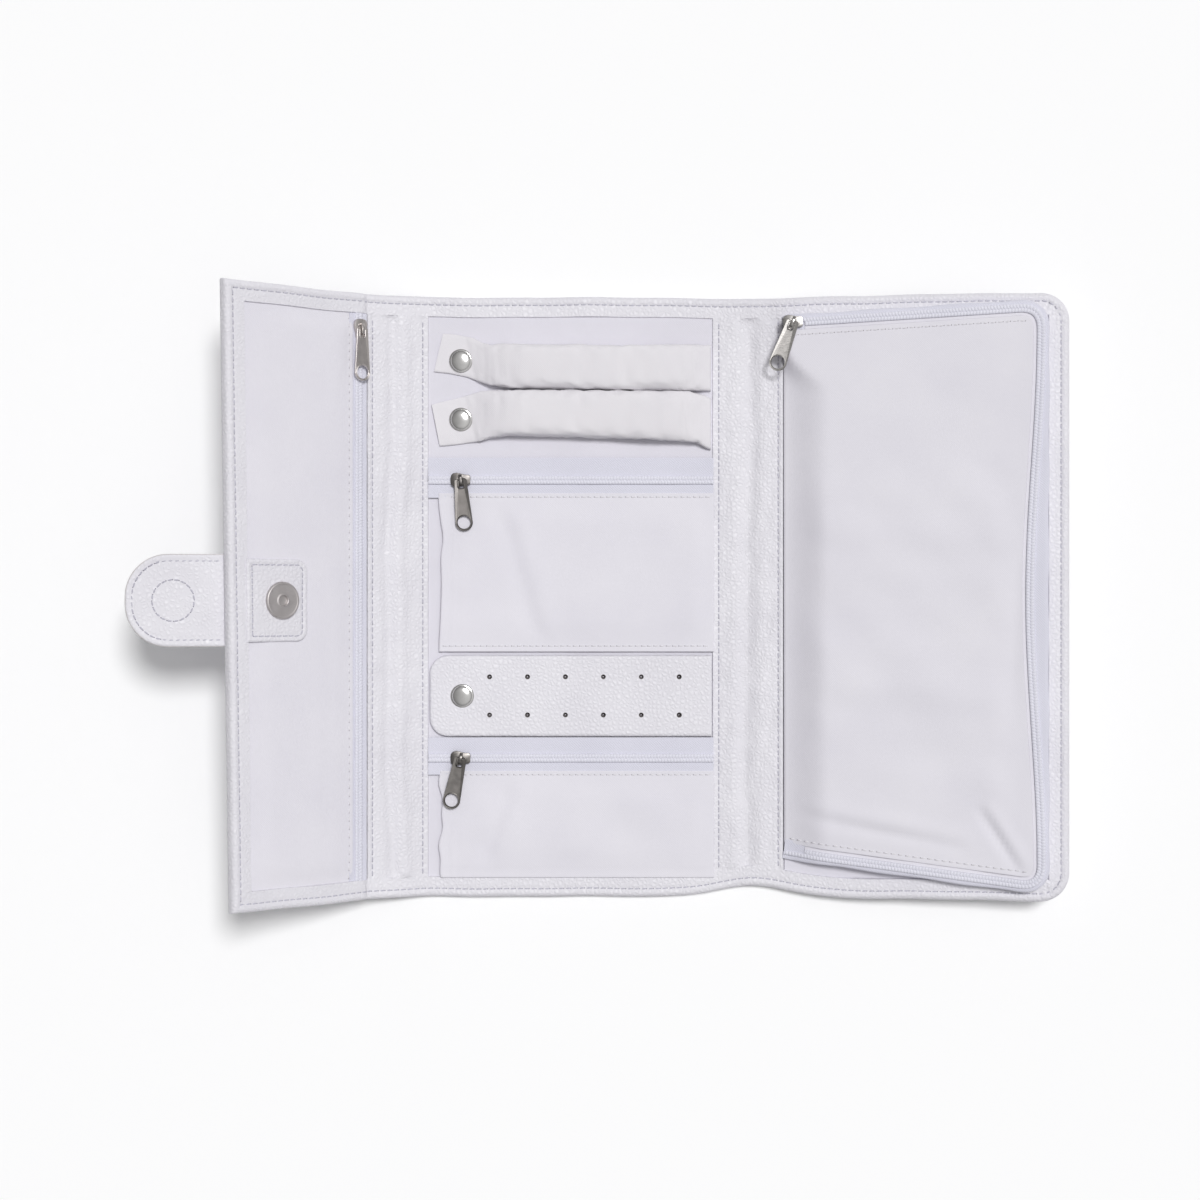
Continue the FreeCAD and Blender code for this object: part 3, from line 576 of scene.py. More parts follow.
seamSpots = alongLine(seamLoop(), stitch["pitch"])
for seam in stripSeams:
    low, high = edges(seam)
    seamSpots += alongLine([(seam, low + skin["seamEnd"]), (seam, high - skin["seamEnd"])], stitch["pitch"])
skins = {
    "skinFlap": {
        "runs": [[case["flapEdge"] + d for d in edgeLines], spread(-140.5, -89, 2.4),
                 [-88, -87.2, -86.6, -86.2, -85.9, -85.6, -85.2, -84.6, -84.1, -83.6, -83.1, -82.6],
                 spread(-82, case["leftMiddle"], 0.9)],
        "bodies": ("left_spine", "flap"), "fold": case["flapFold"], "bend": case["leftBend"],
        "nodes": ("left_spine_shell", "left_spine_padding", "flap_shell", "flap_padding", "flap_lining",
                  "flap_hem"),
    },
    "skinLeft": {
        "runs": [spread(case["leftMiddle"], -63, 0.9),
                 [-62.5, -62, -61.5, -61, -60.5, -60, -59.7, -59.4, -59.1, -58.6], spread(-58, 0, 3)],
        "bodies": ("centre", "left_spine"), "fold": case["leftFold"], "bend": case["leftBend"],
        "nodes": ("centre_shell", "centre_padding", "centre_hems", "left_spine_strip"),
    },
    "skinRight": {
        "runs": [spread(0, 58, 3), [58.6, 59.2, 59.5, 59.8, 60.2, 60.7, 61.3, 61.8, 62.3, 62.8],
                 spread(63.4, case["rightMiddle"], 0.9)],
        "bodies": ("centre", "right_spine"), "fold": case["rightFold"], "bend": -case["rightBend"],
        "nodes": ("right_spine_shell", "right_spine_padding", "right_spine_strip"),
    },
    "skinPanel": {
        "runs": [spread(case["rightMiddle"], 86.3, 0.9),
                 [86.7, 87.2, 87.7, 88.2, 88.7, 89.1, 89.4, 89.7, 90.2], spread(92, 194, 3),
                 spread(195.1, 198.2, 1), [case["panelEdge"] - d for d in edgeLines]],
        "bodies": ("right_spine", "right_panel"), "fold": case["panelFold"], "bend": -case["rightBend"],
        "nodes": ("right_shell", "right_padding", "right_border"),
    },
}
for name, one in skins.items():
    sLines = lines(*one["runs"])
    bm = makeSheet(sLines, range(len(rows)), lambda s, row: skinTop(*skinPlace(s, row)),
                   lambda s, row: skinUnder(*skinPlace(s, row)), skinPlace)
    mine = [spot for spot in seamSpots if sLines[0] <= spot[0] < sLines[-1]]
    sew(bm, mine, skinTop)
    sew(bm, mine, skinUnder, side=-1)
    piece = makePiece(name, bm, [pebbledLeather, thread, needleHole], one["nodes"])
    at(one["fold"] + one["bend"], 0, 0)
    at(one["fold"] - one["bend"], 0, 0)
    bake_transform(piece)

print("linings and pockets")
lining = {"level": -0.85, "thick": 0.5}
pocket = {"left": -54.3, "right": 60.2, "level": 0.95, "thick": 0.7, "fold": 4.2, "seamTop": 1.7,
          "seamLow": 2.4}
notch = {"v": [-120, -20, -10, 4, 18.6, 24.5, 28, 40, 60],
         "s": [-55.2, -55.2, -54.6, -54.1, -54.5, -53.0, -54.0, -55.5, -55.6]}


def clothSheet(name, sRange, vRange, top, thick, material, nodes, step=1.6, place=None,
               body="centre", spots=(), proud=0.1):
    # a stretched sheet with rolled edges, sewn at the given spots
    rim = [0, 0.15, 0.4, 0.9]
    across, along = (rimLines(*span, rim, 1.2, step) for span in (sRange, vRange))

    def fall(a, b):
        d = np.minimum(np.minimum(a - sRange[0], sRange[1] - a), np.minimum(b - vRange[0], vRange[1] - b))
        return roundOff(d, thick / 2)
    bm = makeSheet(across, along, lambda a, b: top(a, b) - fall(a, b),
                   lambda a, b: top(a, b) - thick + fall(a, b), place)
    sew(bm, spots, lambda s, v: top(s, v) + proud)
    piece = makePiece(name, bm, [material, paleThread, paleHole], nodes, body)


def liningTop(s, v):
    return lining["level"] + 0.22 * drift(s, v, 21, 46.0) * ease((117 - np.abs(v)) / 6)


clothSheet("centreLining", (-59.6, 59.6), (-117.6, 117.6), liningTop, lining["thick"], liningCloth,
           ["centre_lining"], step=2.2)


def drawEdge(a, left):
    share = np.clip((pocket["right"] - a) / (pocket["right"] - pocket["left"]), 0, 1)
    return a + (left - pocket["left"]) * share ** 3


def upperPlace(a, b):
    # the left edge follows the notch, the lower pocket's is only wavy
    left = sum(np.interp(b + d, notch["v"], notch["s"]) for d in (-3, -1, 1, 3)) / 4
    return drawEdge(a, left), b


def lowerPlace(a, b):
    return drawEdge(a, -54.4 + 0.7 * np.sin(b * 0.19) + 0.4 * np.sin(b * 0.5)), b


def pocketTop(low, high, seed, tilt, foldAt):
    def top(a, b):
        edge = a - pocket["left"]
        rolled = 0.35 * bump(edge, 1.2, 1.1) + 0.18 * bump(edge, pocket["fold"], 0.9)
        rolled = rolled - 0.15 * bump(edge, 2.8, 0.7)
        body = ease((b - low - 2) / 12) * ease((high - 2 - b) / 12)
        body = body * ease(edge / 10) * ease((pocket["right"] - a) / 10)
        sewn = -0.22 * bump(b, high - pocket["seamTop"], 0.6) - 0.22 * bump(b, low + pocket["seamLow"], 0.6)
        lift = ease((14 - edge) / 14) * 0.45 * np.sin(b * 0.3 + seed)
        slack = 0.5 * bump(a - tilt * b, foldAt + 6, 5.0) - 0.9 * bump(a - tilt * b, foldAt, 4.5)
        soft = 0.28 * drift(a, b, seed, 38.0) * body
        loose = (lift + slack * ease((b - low) / 8)) * body
        return pocket["level"] + 0.75 * body + soft + rolled + sewn + loose
    return top


pockets = {
    "upperPocket": {"low": -23.0, "high": 43.6, "seed": 31, "tilt": -0.29, "foldAt": -19.0,
                    "place": upperPlace, "node": "upper_pocket_front"},
    "lowerPocket": {"low": -117.8, "high": -72.9, "seed": 37, "tilt": 0.32, "foldAt": -1.0,
                    "place": lowerPlace, "node": "lower_pocket_front"},
}
for name, one in pockets.items():
    low, high = one["low"], one["high"]
    seam = high - pocket["seamTop"]
    spots = alongLine([(-50, seam), (59.4, seam)], stitch["shortPitch"])
    if name == "upperPocket":
        seam = low + pocket["seamLow"]
        spots += alongLine([(-53.6, seam), (59.4, seam)], stitch["shortPitch"])
    top = pocketTop(low, high, one["seed"], one["tilt"], one["foldAt"])
    clothSheet(name, (pocket["left"], pocket["right"]), (low, high), top, pocket["thick"], pocketCloth,
               [one["node"]], place=one["place"], spots=spots)

print("zips")
zipLook = {"tooth": 1.3, "slot": -0.04, "row": 1.8, "tall": 0.95, "tape": 0.5, "rib": 0.14, "valley": 0.66,
           "level": 0.72, "gap": 0.55, "shares": (0.0, 0.1, 0.3, 0.6, 0.88, 1.0), "sunk": 0.05}
zips = {
    "upper": {"span": (-59.8, 60.0), "above": 9.4, "below": -7.4, "line": 49.0, "body": "centre"},
    "lower": {"span": (-59.8, 60.0), "above": 8.6, "below": -7.0, "line": -67.6, "body": "centre"},
    "flap": {"span": (-117.6, 117.6), "above": 4.4, "below": -4.0, "line": -90.6, "body": "flap"},
}


def tapeSheet(span, side, place):
    # one ribbed half of a zip's tape
    def top(p, q):
        return zipLook["level"] + zipLook["rib"] * np.cos(q * 6.28 / 1.1) * 0.4 + 0.10 * drift(p, q, 41, 22.0)
    return makeSheet(spread(*span, 1.5), lines(spread(*side, 0.55)), top,
                     lambda p, q: top(p, q) - zipLook["tape"], place)


def coilRow(span, side, level, look, place):
    # a row of nylon teeth is a low ridge, pinched between teeth
    across = spread(*span, zipLook["tooth"] / 6)
    along = sorted(side * (zipLook["slot"] + zipLook["row"] * share) for share in look["shares"])
    shift = 0.5 if side > 0 else 0.0

    def top(p, q):
        share = (np.abs(q) - zipLook["slot"]) / zipLook["row"]
        arch = np.sqrt(np.clip(1 - (2 * share - 1) ** 2, 0, 1)) * 0.45 + 0.55
        tooth = np.abs(np.sin(np.pi * (p / zipLook["tooth"] + shift - 0.25 * share)))
        pinch = zipLook["valley"] + (1 - zipLook["valley"]) * tooth ** 0.7
        return level(p) + zipLook["tall"] * arch * pinch
    return makeSheet(across, along, top, lambda p, q: level(p) - look["sunk"], place)


def zipPlace(name, line):
    if name == "flap":
        return lambda a, b: (line - b, a)
    return lambda a, b: (a, line + b)


for name, one in zips.items():
    place = zipPlace(name, one["line"])
    tape = tapeSheet(one["span"], (zipLook["gap"], one["above"]), place)
    joinMesh(tape, tapeSheet(one["span"], (one["below"], -zipLook["gap"]), place))
    makePiece(name + "ZipTape", tape, [tapeCloth], [name + "_zip_tape"], one["body"])
    coil = bmesh.new()
    for side in (1, -1):
        joinMesh(coil, coilRow(one["span"], side, lambda p: zipLook["level"], zipLook, place))
    makePiece(name + "ZipCoil", coil, [coilNylon], [name + "_zip_coil"], one["body"], sharp=80)

print("flap pocket, patch and tab")
flapLook = {"low": -142.0, "high": -93.4, "half": 117.8, "level": 0.98, "rim": 0.4, "thick": 0.7,
            "crease": -112, "seam": -95.3, "seamHalf": 117, "pitch": 3.4}


def flapTop(s, v):
    body = ease((s - flapLook["low"] - 1) / 10) * ease((flapLook["high"] - 1 - s) / 8)
    crease = 0.35 * bump(s + 2.0 * np.sin(v * 0.03), flapLook["crease"], 3.0) * ease((-v + 20) / 40)
    waves = 0.5 * drift(s * 1.4, v * 0.5, 51, 60.0) + crease
    sewn = -0.2 * bump(s, flapLook["seam"], 0.5)
    under = ease((s - flapLook["low"]) / 11) * ease((flapLook["half"] - np.abs(v)) / 9)
    level = flapLook["rim"] + (flapLook["level"] - flapLook["rim"]) * under
    return level + body * under * (0.35 + 0.4 * waves) + sewn


seam = [(flapLook["seam"], -flapLook["seamHalf"]), (flapLook["seam"], flapLook["seamHalf"])]
clothSheet("flapPocket", (flapLook["low"], flapLook["high"]), (-flapLook["half"], flapLook["half"]), flapTop,
           flapLook["thick"], pocketCloth, ["flap_pocket_front"], step=1.8, body="flap",
           spots=alongLine(seam, flapLook["pitch"]), proud=0.16)


def outline(shape):
    # a rectangle whose corners are rounded at its high end, or at its low end where flip is -1
    return [shape[key] for key in ("low", "high", "middle", "half", "corner", "flip")]


def roundedIn(shape, s, v):
    # distance inside such an outline
    low, high, middle, half, corner, flip = outline(shape)
    fromSide = half - np.abs(v - middle)
    fromEnd = high - s if flip > 0 else s - low
    d = np.minimum(np.minimum(fromSide, high - s), s - low)
    turned = corner - np.hypot(np.maximum(corner - fromEnd, 0), np.maximum(corner - fromSide, 0))
    return np.where((fromEnd < corner) & (fromSide < corner), np.minimum(d, turned), d)


def leatherSlab(shape, topLevel, underLevel, edge, step=1.1, seam=None):
    # a leather layer with soft edges: its mesh, and its upper surface over (s, v)
    low, high, middle, half, corner, flip = outline(shape)
    rim, margin = [0, 0.15, 0.45, 0.9, 1.5], 2.2
    ends = [corner * (1 - math.cos(math.radians(x))) for x in range(0, 91, 10)]
    near = [high - e for e in ends] if flip > 0 else [low + e for e in ends]
    across = lines(rimLines(low, high, rim, margin, step), near)
    along = rimLines(-1, 1, [d / half for d in rim], margin / half, step / half)

    def place(a, t):
        return a, middle + t * (half - roundOff(high - a if flip > 0 else a - low, corner))

    def top(a, t):
        s, v = place(a, np.clip(t, -1, 1))
        d = roundedIn(shape, s, v)
        sewn = (0.26 * bump(d, seam, 0.5) - 0.16 * bump(d, seam * 0.45, 0.9)) if seam else 0
        return topLevel(s, v) - roundOff(d, edge) - sewn

    def under(a, t):
        s, v = place(a, np.clip(t, -1, 1))
        return underLevel(s, v) + roundOff(roundedIn(shape, s, v), edge)

    def surface(s, v):
        return top(s, (v - middle) / half)
    return makeSheet(across, along, top, under, place), surface


def seamAround(shape, inset, closed=False):
    # a seam line inside the outline, from one plain end round the rounded one
    low, high, middle, half, corner, flip = outline(shape)
    r = max(corner - inset, 0.3)
    end, start = (high - corner, low + inset) if flip > 0 else (low + corner, high - inset)
    turn = arc(end, middle - half + corner, r, *((-90, 0) if flip > 0 else (270, 180)), 9)
    back = [(x, 2 * middle - y) for x, y in reversed(turn)]
    path = [(start, middle - half + inset)] + turn + back + [(start, middle + half - inset)]
    return path + [path[0]] if closed else path


patch = {"low": -142.4, "high": -116.0, "middle": -1.5, "half": 16.6, "corner": 5.0, "flip": 1, "thick": 1.1,
         "level": 2.1, "edge": 0.55, "seam": 2.3}
bm, surface = leatherSlab(patch, lambda s, v: patch["level"] + 0.1 * drift(s, v, 61, 20.0),
                          lambda s, v: patch["level"] - patch["thick"], patch["edge"], seam=patch["seam"])
spots = alongLine(seamAround(patch, patch["seam"], closed=True), stitch["shortPitch"])
sew(bm, spots, surface, long=stitch["short"])
makePiece("snapPatch", bm, [pebbledLeather, thread, needleHole], ["snap_patch"], "flap")

tab = {"low": -38.8, "high": 12.0, "middle": -1.5, "half": 18.5, "corner": 17.0, "flip": -1, "level": 1.2,
       "edge": 0.8, "cut": 0.5, "seam": 2.8, "seamFrom": -1.5, "ring": 8.2, "ringAt": -20.0,
       "ringPitch": 2.57, "bend": 4}


def tabTop(s, v):
    return tab["level"] + 0.12 * drift(s, v, 67, 22.0) * ease(-s / 6)


def tabUnder(s, v):
    # the anchor beyond the hinge is thinner
    return -tab["level"] + 1.1 * ease((s - 0.5) / 3)


bm, surface = leatherSlab(tab, tabTop, tabUnder, tab["edge"], seam=tab["seam"])
for face in bm.faces:
    middle = face.calc_center_median()
    if middle.x < 0 and roundedIn(tab, middle.x, middle.y) < tab["cut"]:
        face.material_index = 3
ringSpots = alongLine(arc(tab["ringAt"], tab["middle"], tab["ring"], 0, 360, 6), tab["ringPitch"])
tabSpots = alongLine(seamAround(tab, tab["seam"]), stitch["shortPitch"])
sew(bm, [p for p in tabSpots if p[0] < tab["seamFrom"]] + ringSpots, surface, long=stitch["short"])
sew(bm, tabSpots + ringSpots, lambda s, v: tabUnder(s, v) + 0.15, long=stitch["short"], side=-1)
piece = makePiece("closingTab", bm, [pebbledLeather, thread, needleHole, cutEdge],
                  ["tab_outer", "tab_inner", "tab_anchor"], lay=layTab)
at(tab["bend"], 0, 0, layTab)
at(-tab["bend"], 0, 0, layTab)
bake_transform(piece)

print("pouch")
pouch = {
    "top": ((6.2, 114.0), (112.0, 119.05)), "bottom": ((6.2, -106.0), (112.0, -119.1)), "bow": 4.6,
    "corner": 9.0, "tape": 5.95, "foot": 0.4, "coverIn": 3.15, "coverThick": 0.8, "coverRim": 0.45,
    "seam": 5.3, "pitch": 3.0, "crown": 0.7, "hinge": 15.0, "blend": (11, 19), "lining": (6.6, 115.4, 117.4),
    "shoulder": {"from": 5.0, "long": 20.0, "cut": 16.4, "cutFrom": 84, "cutOver": 18},
    "side": [(3.0, -1.3), (3.2, 0.5), (3.35, 2.5), (3.45, 4.3), (3.4, 5.2), (3.1, 5.75), (2.5, 5.95),
             (1.6, 6.0), (0.55, 6.0)], "sideThick": 0.45, "sideTall": 6.0,
    "shares": (0.0, 0.12, 0.35, 0.65, 0.9, 1.0), "sunk": 0.1,
    # folds of the cover: by the lower right corner, along the lower run and on the right
    "folds": (((169, -86), (187, -114), 1.9, 1.2), ((90, -90), (166, -104), 2.6, 0.9),
              ((186, 20), (183, -50), 3.2, 0.35)),
}


def pouchLine():
    # the zip's line round three sides of the pouch, bowed in on the free side, as (u, v)
    r = pouch["corner"]
    (u0, low0), (u1, low1) = pouch["bottom"]
    (_, top0), (_, top1) = pouch["top"]

    def bend(a, corner, b):
        t = np.linspace(0, 1, 16)[:, None]
        return list((1 - t) ** 2 * np.array(a) + 2 * t * (1 - t) * np.array(corner) + t ** 2 * np.array(b))

    def before(start, end):
        step = np.array(start) - np.array(end)
        return np.array(end) + step * r / math.hypot(*step)
    a, b = before(*pouch["bottom"]), before(*pouch["top"])
    v = np.linspace(low1 + r, top1 - r, 120)
    share = (v - v[0]) / (v[-1] - v[0])
    side = list(zip(u1 - pouch["bow"] * np.sin(np.pi * share) ** 2, v))
    points = list(np.linspace((u0, low0), a, 60)) + bend(a, (u1, low1), side[0])[1:] + side[1:-1]
    points += bend(side[-1], (u1, top1), b) + list(np.linspace(b, (u0, top0), 60))[1:]
    return np.array(points, float)


zipRaw = pouchLine()
zipReach = np.append(0, np.cumsum(np.hypot(*np.diff(zipRaw, axis=0).T)))
zipLong = zipReach[-1]
zipStart = float(np.interp(pouch["hinge"], zipRaw[:40, 0], zipReach[:40]))
zipEnd = zipLong - zipStart - 0.3
lowTurn, highTurn = (float(zipReach[np.argmin(np.hypot(*(zipRaw - np.array(pouch[run][1])).T))])
                     for run in ("bottom", "top"))


def onZip(a):
    return np.stack([np.interp(a, zipReach, zipRaw[:, 0]), np.interp(a, zipReach, zipRaw[:, 1])], -1)


def pouchPlace(a, b):
    # a along the zip's line, b out from it
    ahead = onZip(np.minimum(a + 1.5, zipLong)) - onZip(np.maximum(a - 1.5, 0))
    ahead = ahead / np.linalg.norm(ahead, axis=-1)[..., None]
    spot = onZip(a)
    return case["panelFold"] + spot[..., 0] + b * ahead[..., 1], spot[..., 1] - b * ahead[..., 0]


def shoulder(u, v):
    # the pouch falls away to its seam at the spine, more steeply by the slider
    fall = pouch["shoulder"]
    long = fall["long"] - fall["cut"] * ease((v - fall["cutFrom"]) / fall["cutOver"])
    return ease((u - fall["from"]) / long)


def coilLevel(a):
    # the zip's height: a little wavy, but level under the slider
    u, v = np.moveaxis(onZip(a), -1, 0)
    wave = (0.2 * np.sin(a * 0.11 + 0.6) + 0.1 * np.sin(a * 0.27)) * (1 - ease((v - 92) / 16))
    return pouch["foot"] + (pouch["tape"] - pouch["foot"] + wave) * shoulder(u, v)


# the pouch's side and the outer tape: one bent sheet round three sides
aLines = spread(0, zipLong, 2.2)
bm = lattice(aLines, pouch["side"])
a, side = gridPlaces(bm, aLines, pouch["side"])
out, w = side.T
u, v = onZip(a).T
bowed = np.clip((pouch["top"][1][0] - u) / pouch["bow"], 0, 1) * (np.abs(v) < 108) * (u > 100)
share = w / pouch["sideTall"]
wave = 0.25 * np.sin(a * 0.19) * share * (out > 1)
s, v = pouchPlace(a, out * np.where(out > 0.6, 1 + 1.25 * bowed, 1) + wave)
moveTo(bm, s, v, np.where(w > 0, share * coilLevel(a), w))
bmesh.ops.recalc_face_normals(bm, faces=bm.faces[:])
bmesh.ops.solidify(bm, geom=bm.faces[:], thickness=pouch["sideThick"])
for span in ((0.3, zipStart - 0.1), (zipEnd + 0.1, zipLong - 0.3)):
    joinMesh(bm, makeSheet(spread(*span, 1.2), [-4.6, -3.6, -2.6, -1.6, -0.8, 0.6],
                           lambda a, b: coilLevel(a) + 0.25, lambda a, b: coilLevel(a) - 0.4, pouchPlace))
makePiece("pouchSide", bm, [tapeCloth], ["pouch_gusset", "pouch_outer_tape"], "right_panel")

for name, node, side, span, body in (
        ("pouchOuterCoil", "pouch_outer_coil", 1, (0.5, zipLong - 0.5), "right_panel"),
        ("pouchInnerCoil", "pouch_inner_coil", -1, (zipStart, zipEnd), "pouch_cover")):
    bm = coilRow(span, side, coilLevel, pouch, pouchPlace)
    makePiece(name, bm, [coilNylon], [node], body, sharp=80)
bm = makeSheet(spread(zipStart, zipEnd, 2.2), [-4.6, -4.0, -3.4, -2.8, -2.2, -1.6, -1.1, -0.55],
               lambda a, b: coilLevel(a) + 0.05 * np.cos(b * 5.7), lambda a, b: coilLevel(a) - 0.4,
               pouchPlace)
makePiece("pouchInnerTape", bm, [pocketCloth], ["pouch_inner_tape"], "pouch_cover")


def coverPlace(a, t):
    # a patch stretched between the zip's three runs and the spine seam: a from 0 at the seam to 1 at
    # the free side, t from -1 at the lower run to 1 at the upper
    k, nought = (t + 1) / 2, 0 * a

    def spot(reach):
        return np.stack(pouchPlace(reach, nought - pouch["coverIn"]), -1)
    low, high = spot(lowTurn * a), spot(zipLong - (zipLong - highTurn) * a)
    side = spot(lowTurn + (highTurn - lowTurn) * k)
    start, end, lowEnd, highEnd = (spot(nought + far) for far in (0, zipLong, lowTurn, highTurn))
    a, k = a[..., None], k[..., None]
    seam = start + (end - start) * k
    corners = (1 - a) * ((1 - k) * start + k * end) + a * ((1 - k) * lowEnd + k * highEnd)
    point = (1 - a) * seam + a * side + (1 - k) * low + k * high - corners
    return point[..., 0], point[..., 1]


def foldLine(s, v, start, end, wide, deep):
    # a crease with a soft ridge beside it, from start to end
    start, run = np.array(start, float), np.array(end, float) - np.array(start, float)
    s, v = s - start[0], v - start[1]
    t = np.clip((s * run[0] + v * run[1]) / (run @ run), 0, 1)
    off = (s * -run[1] + v * run[0]) / np.hypot(*run)
    ends = np.sin(np.pi * t) ** 0.5
    return ends * (-deep * bump(off, 0, wide) + deep * 0.7 * bump(off, wide * 1.9, wide * 1.4))


def coverTop(s, v):
    u = s - case["panelFold"]
    inside = ease((u - 8) / 16) * ease((104 - u) / 14) * ease((110 - np.abs(v - 2)) / 16)
    inside = inside * (1 - 0.85 * ease((v - 50) / 14))
    soft = 0.6 * drift(s, v, 71, 62.0) * inside + 0.26 * drift(s, v, 73, 26.0) * inside
    creases = sum(foldLine(s, v, *fold) for fold in pouch["folds"])
    return 0.35 + (pouch["tape"] + 0.6 + pouch["crown"] * inside + soft + creases) * shoulder(u, v)


def coverFall(a, t):
    # the cover is about 100 mm wide and 224 mm long
    return roundOff(np.minimum(np.minimum(a, 1 - a) * 100, (1 - np.abs(t)) * 112), pouch["coverRim"])


bm = makeSheet(lines([0, 0.004, 0.01, 0.02], spread(0.035, 0.97, 0.016), [0.98, 0.99, 0.996, 1.0]),
               lines([-1, -0.998, -0.993, -0.985], spread(-0.975, 0.975, 0.0155), [0.985, 0.993, 0.998, 1]),
               lambda a, t: coverTop(*coverPlace(a, t)) - coverFall(a, t),
               lambda a, t: coverTop(*coverPlace(a, t)) - pouch["coverThick"] + coverFall(a, t), coverPlace)
for span in ((2.0, lowTurn - 2), (highTurn + 2, zipLong - 2.0)):
    reach = np.linspace(*span, 300)
    sew(bm, alongLine(list(zip(*pouchPlace(reach, 0 * reach - pouch["seam"]))), pouch["pitch"]), coverTop)
nodes = ["pouch_cover", "pouch_margin"]
piece = makePiece("pouchCover", bm, [pocketCloth, paleThread, paleHole], nodes)
start, end = (at(case["panelFold"] + u, 0, 7) for u in pouch["blend"])
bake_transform(piece)


def pouchFloor(s, v):
    return lining["level"] + 0.12 * drift(s, v, 77, 50.0)


low, high, half = pouch["lining"]
clothSheet("pouchLining", (case["panelFold"] + low, case["panelFold"] + high), (-half, half), pouchFloor,
           lining["thick"], liningCloth, ["right_lining"], step=2.6, body="right_panel")

print("ring rolls")
# upper and lower edge of each roll over x, and the height of both
rolls = {
    "upper": {"top": ([-60, -53, -47, -41, -37, -33, -20, 0, 30, 56, 60],
                      [110.6, 110.6, 110, 108.8, 106.6, 105.8, 106, 105.8, 105.2, 105.6, 106]),
              "low": ([-60, -56, -50, -43, -38, -33, -25, 0, 30, 50, 60],
                      [94.6, 94.6, 93.9, 92.2, 90.2, 88.6, 87.4, 87, 86.6, 86.6, 86.4]),
              "shear": 0.24, "tip": -55.4},
    "lower": {"top": ([-60, -57, -50, -42, -37, -30, 0, 30, 50, 56, 60],
                      [80.2, 80.6, 82.6, 85.0, 86.3, 86.4, 86.5, 86.2, 85.9, 84.6, 83]),
              "low": ([-60, -55, -46, -38, -33, -26, 0, 30, 47, 53, 57, 60],
                      [63.4, 63.4, 64.2, 65.3, 66.6, 67.3, 66.8, 66.0, 65.4, 64.6, 62.4, 61.4]),
              "shear": -0.2, "tip": -56.6},
}
rollHigh = ([-60, -43, -40, -36, -32, -27, -20, 0, 38, 47, 52, 56, 60],
            [1.5, 1.5, 1.9, 3.5, 5.6, 7.3, 8.4, 8.6, 8.5, 7.6, 6.1, 4.1, 2.4])
rollLook = {"base": -0.7, "above": 0.72, "below": 0.28, "square": 0.42, "full": 0.46, "tabEnd": 41.6,
            "blend": (0.0592, 0.0535)}
fill = {"most": 0.0003, "frames": 18, "settings": {
    "quality": 6, "mass": 0.12, "tension_stiffness": 12, "compression_stiffness": 12,
    "bending_stiffness": 0.15, "use_pressure": True, "uniform_pressure_force": 1.2, "shrink_min": -0.02,
    "vertex_group_mass": "held"}}


def fillOut(piece):
    # cloth under pressure: the sewn ends are held, the rest fills out and wrinkles a little
    mesh = piece.data
    rest = np.zeros(len(mesh.vertices) * 3, np.float32)
    mesh.vertices.foreach_get("co", rest)
    rest = rest.reshape(-1, 3)
    held = piece.vertex_groups.new(name="held")
    for index, spot in enumerate(rest):
        x, z = spot[0] * 1000, spot[2] * 1000
        free = ease((x + 41) / 7) * ease((57 - x) / 4) * ease((z - 3.5) / 0.8)
        held.add([index], float(1 - free), "REPLACE")
    cloth = piece.modifiers.new("fill", "CLOTH")
    for key, value in fill["settings"].items():
        setattr(cloth.settings, key, value)
    cloth.settings.effector_weights.gravity = 0
    cloth.collision_settings.use_collision = False
    for number in range(1, fill["frames"] + 1):
        scene.frame_set(number)
    settled = piece.evaluated_get(bpy.context.evaluated_depsgraph_get()).to_mesh()
    filled = np.zeros(rest.size, np.float32)
    settled.vertices.foreach_get("co", filled)
    scene.frame_set(1)
    piece.modifiers.remove(cloth)
    piece.vertex_groups.clear()
    step = filled.reshape(-1, 3) - rest
    far = np.linalg.norm(step, axis=1, keepdims=True)
    step = step * np.minimum(1, fill["most"] / np.maximum(far, 1e-9))
    print(piece.name, "filled out by up to", round(float(far.max()) * 1000, 2), "mm, before the cap")
    mesh.vertices.foreach_set("co", (rest + step).ravel())
    mesh.update()


for name, roll in rolls.items():
    xs = lines(spread(roll["tip"], -30, 0.9), spread(-29, 46, 1.6), spread(47, 58.9, 0.8))
    turns = spread(0, 1, 1 / 36)
    bm = lattice(xs, turns)
    x, turn = gridPlaces(bm, xs, turns)
    cosine, sine = np.cos(2 * np.pi * turn), np.sin(2 * np.pi * turn)
    upper = sine > 0
    high, low, tall = np.interp(x, *roll["top"]), np.interp(x, *roll["low"]), np.interp(x, *rollHigh)
    off = (high - low) / 2 * np.sign(cosine) * np.abs(cosine) ** rollLook["square"]
    y = (high + low) / 2 + off
    rise = np.abs(sine) ** rollLook["full"] * np.where(upper, rollLook["above"], -rollLook["below"])
    w = rollLook["base"] + tall * (rollLook["below"] + rise)
    w = w + upper * 0.5 * ease((x + rollLook["tabEnd"] + 0.25 * off) / 0.7) * ease((-30 - x) / 8)
    w = w + 0.2 * drift(x, y, 83, 30.0) * ease((tall - 3) / 5) * upper + 0.12 * upper * drift(x, y, 85, 9.0)
    moveTo(bm, x + roll["shear"] * off * ease((-44 - x) / 10), y, w)
    bmesh.ops.remove_doubles(bm, verts=bm.verts[:], dist=0.002)
    bmesh.ops.holes_fill(bm, edges=[e for e in bm.edges if e.is_boundary])
    nodes = [name + "_roll_cover", name + "_roll_filling"]
    piece = makePiece(name + "Roll", bm, [rollCloth], nodes, sharp=70)
    fillOut(piece)
    y = joints[name + "_roll_lift"]["pos_m"][1]
    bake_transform(piece)

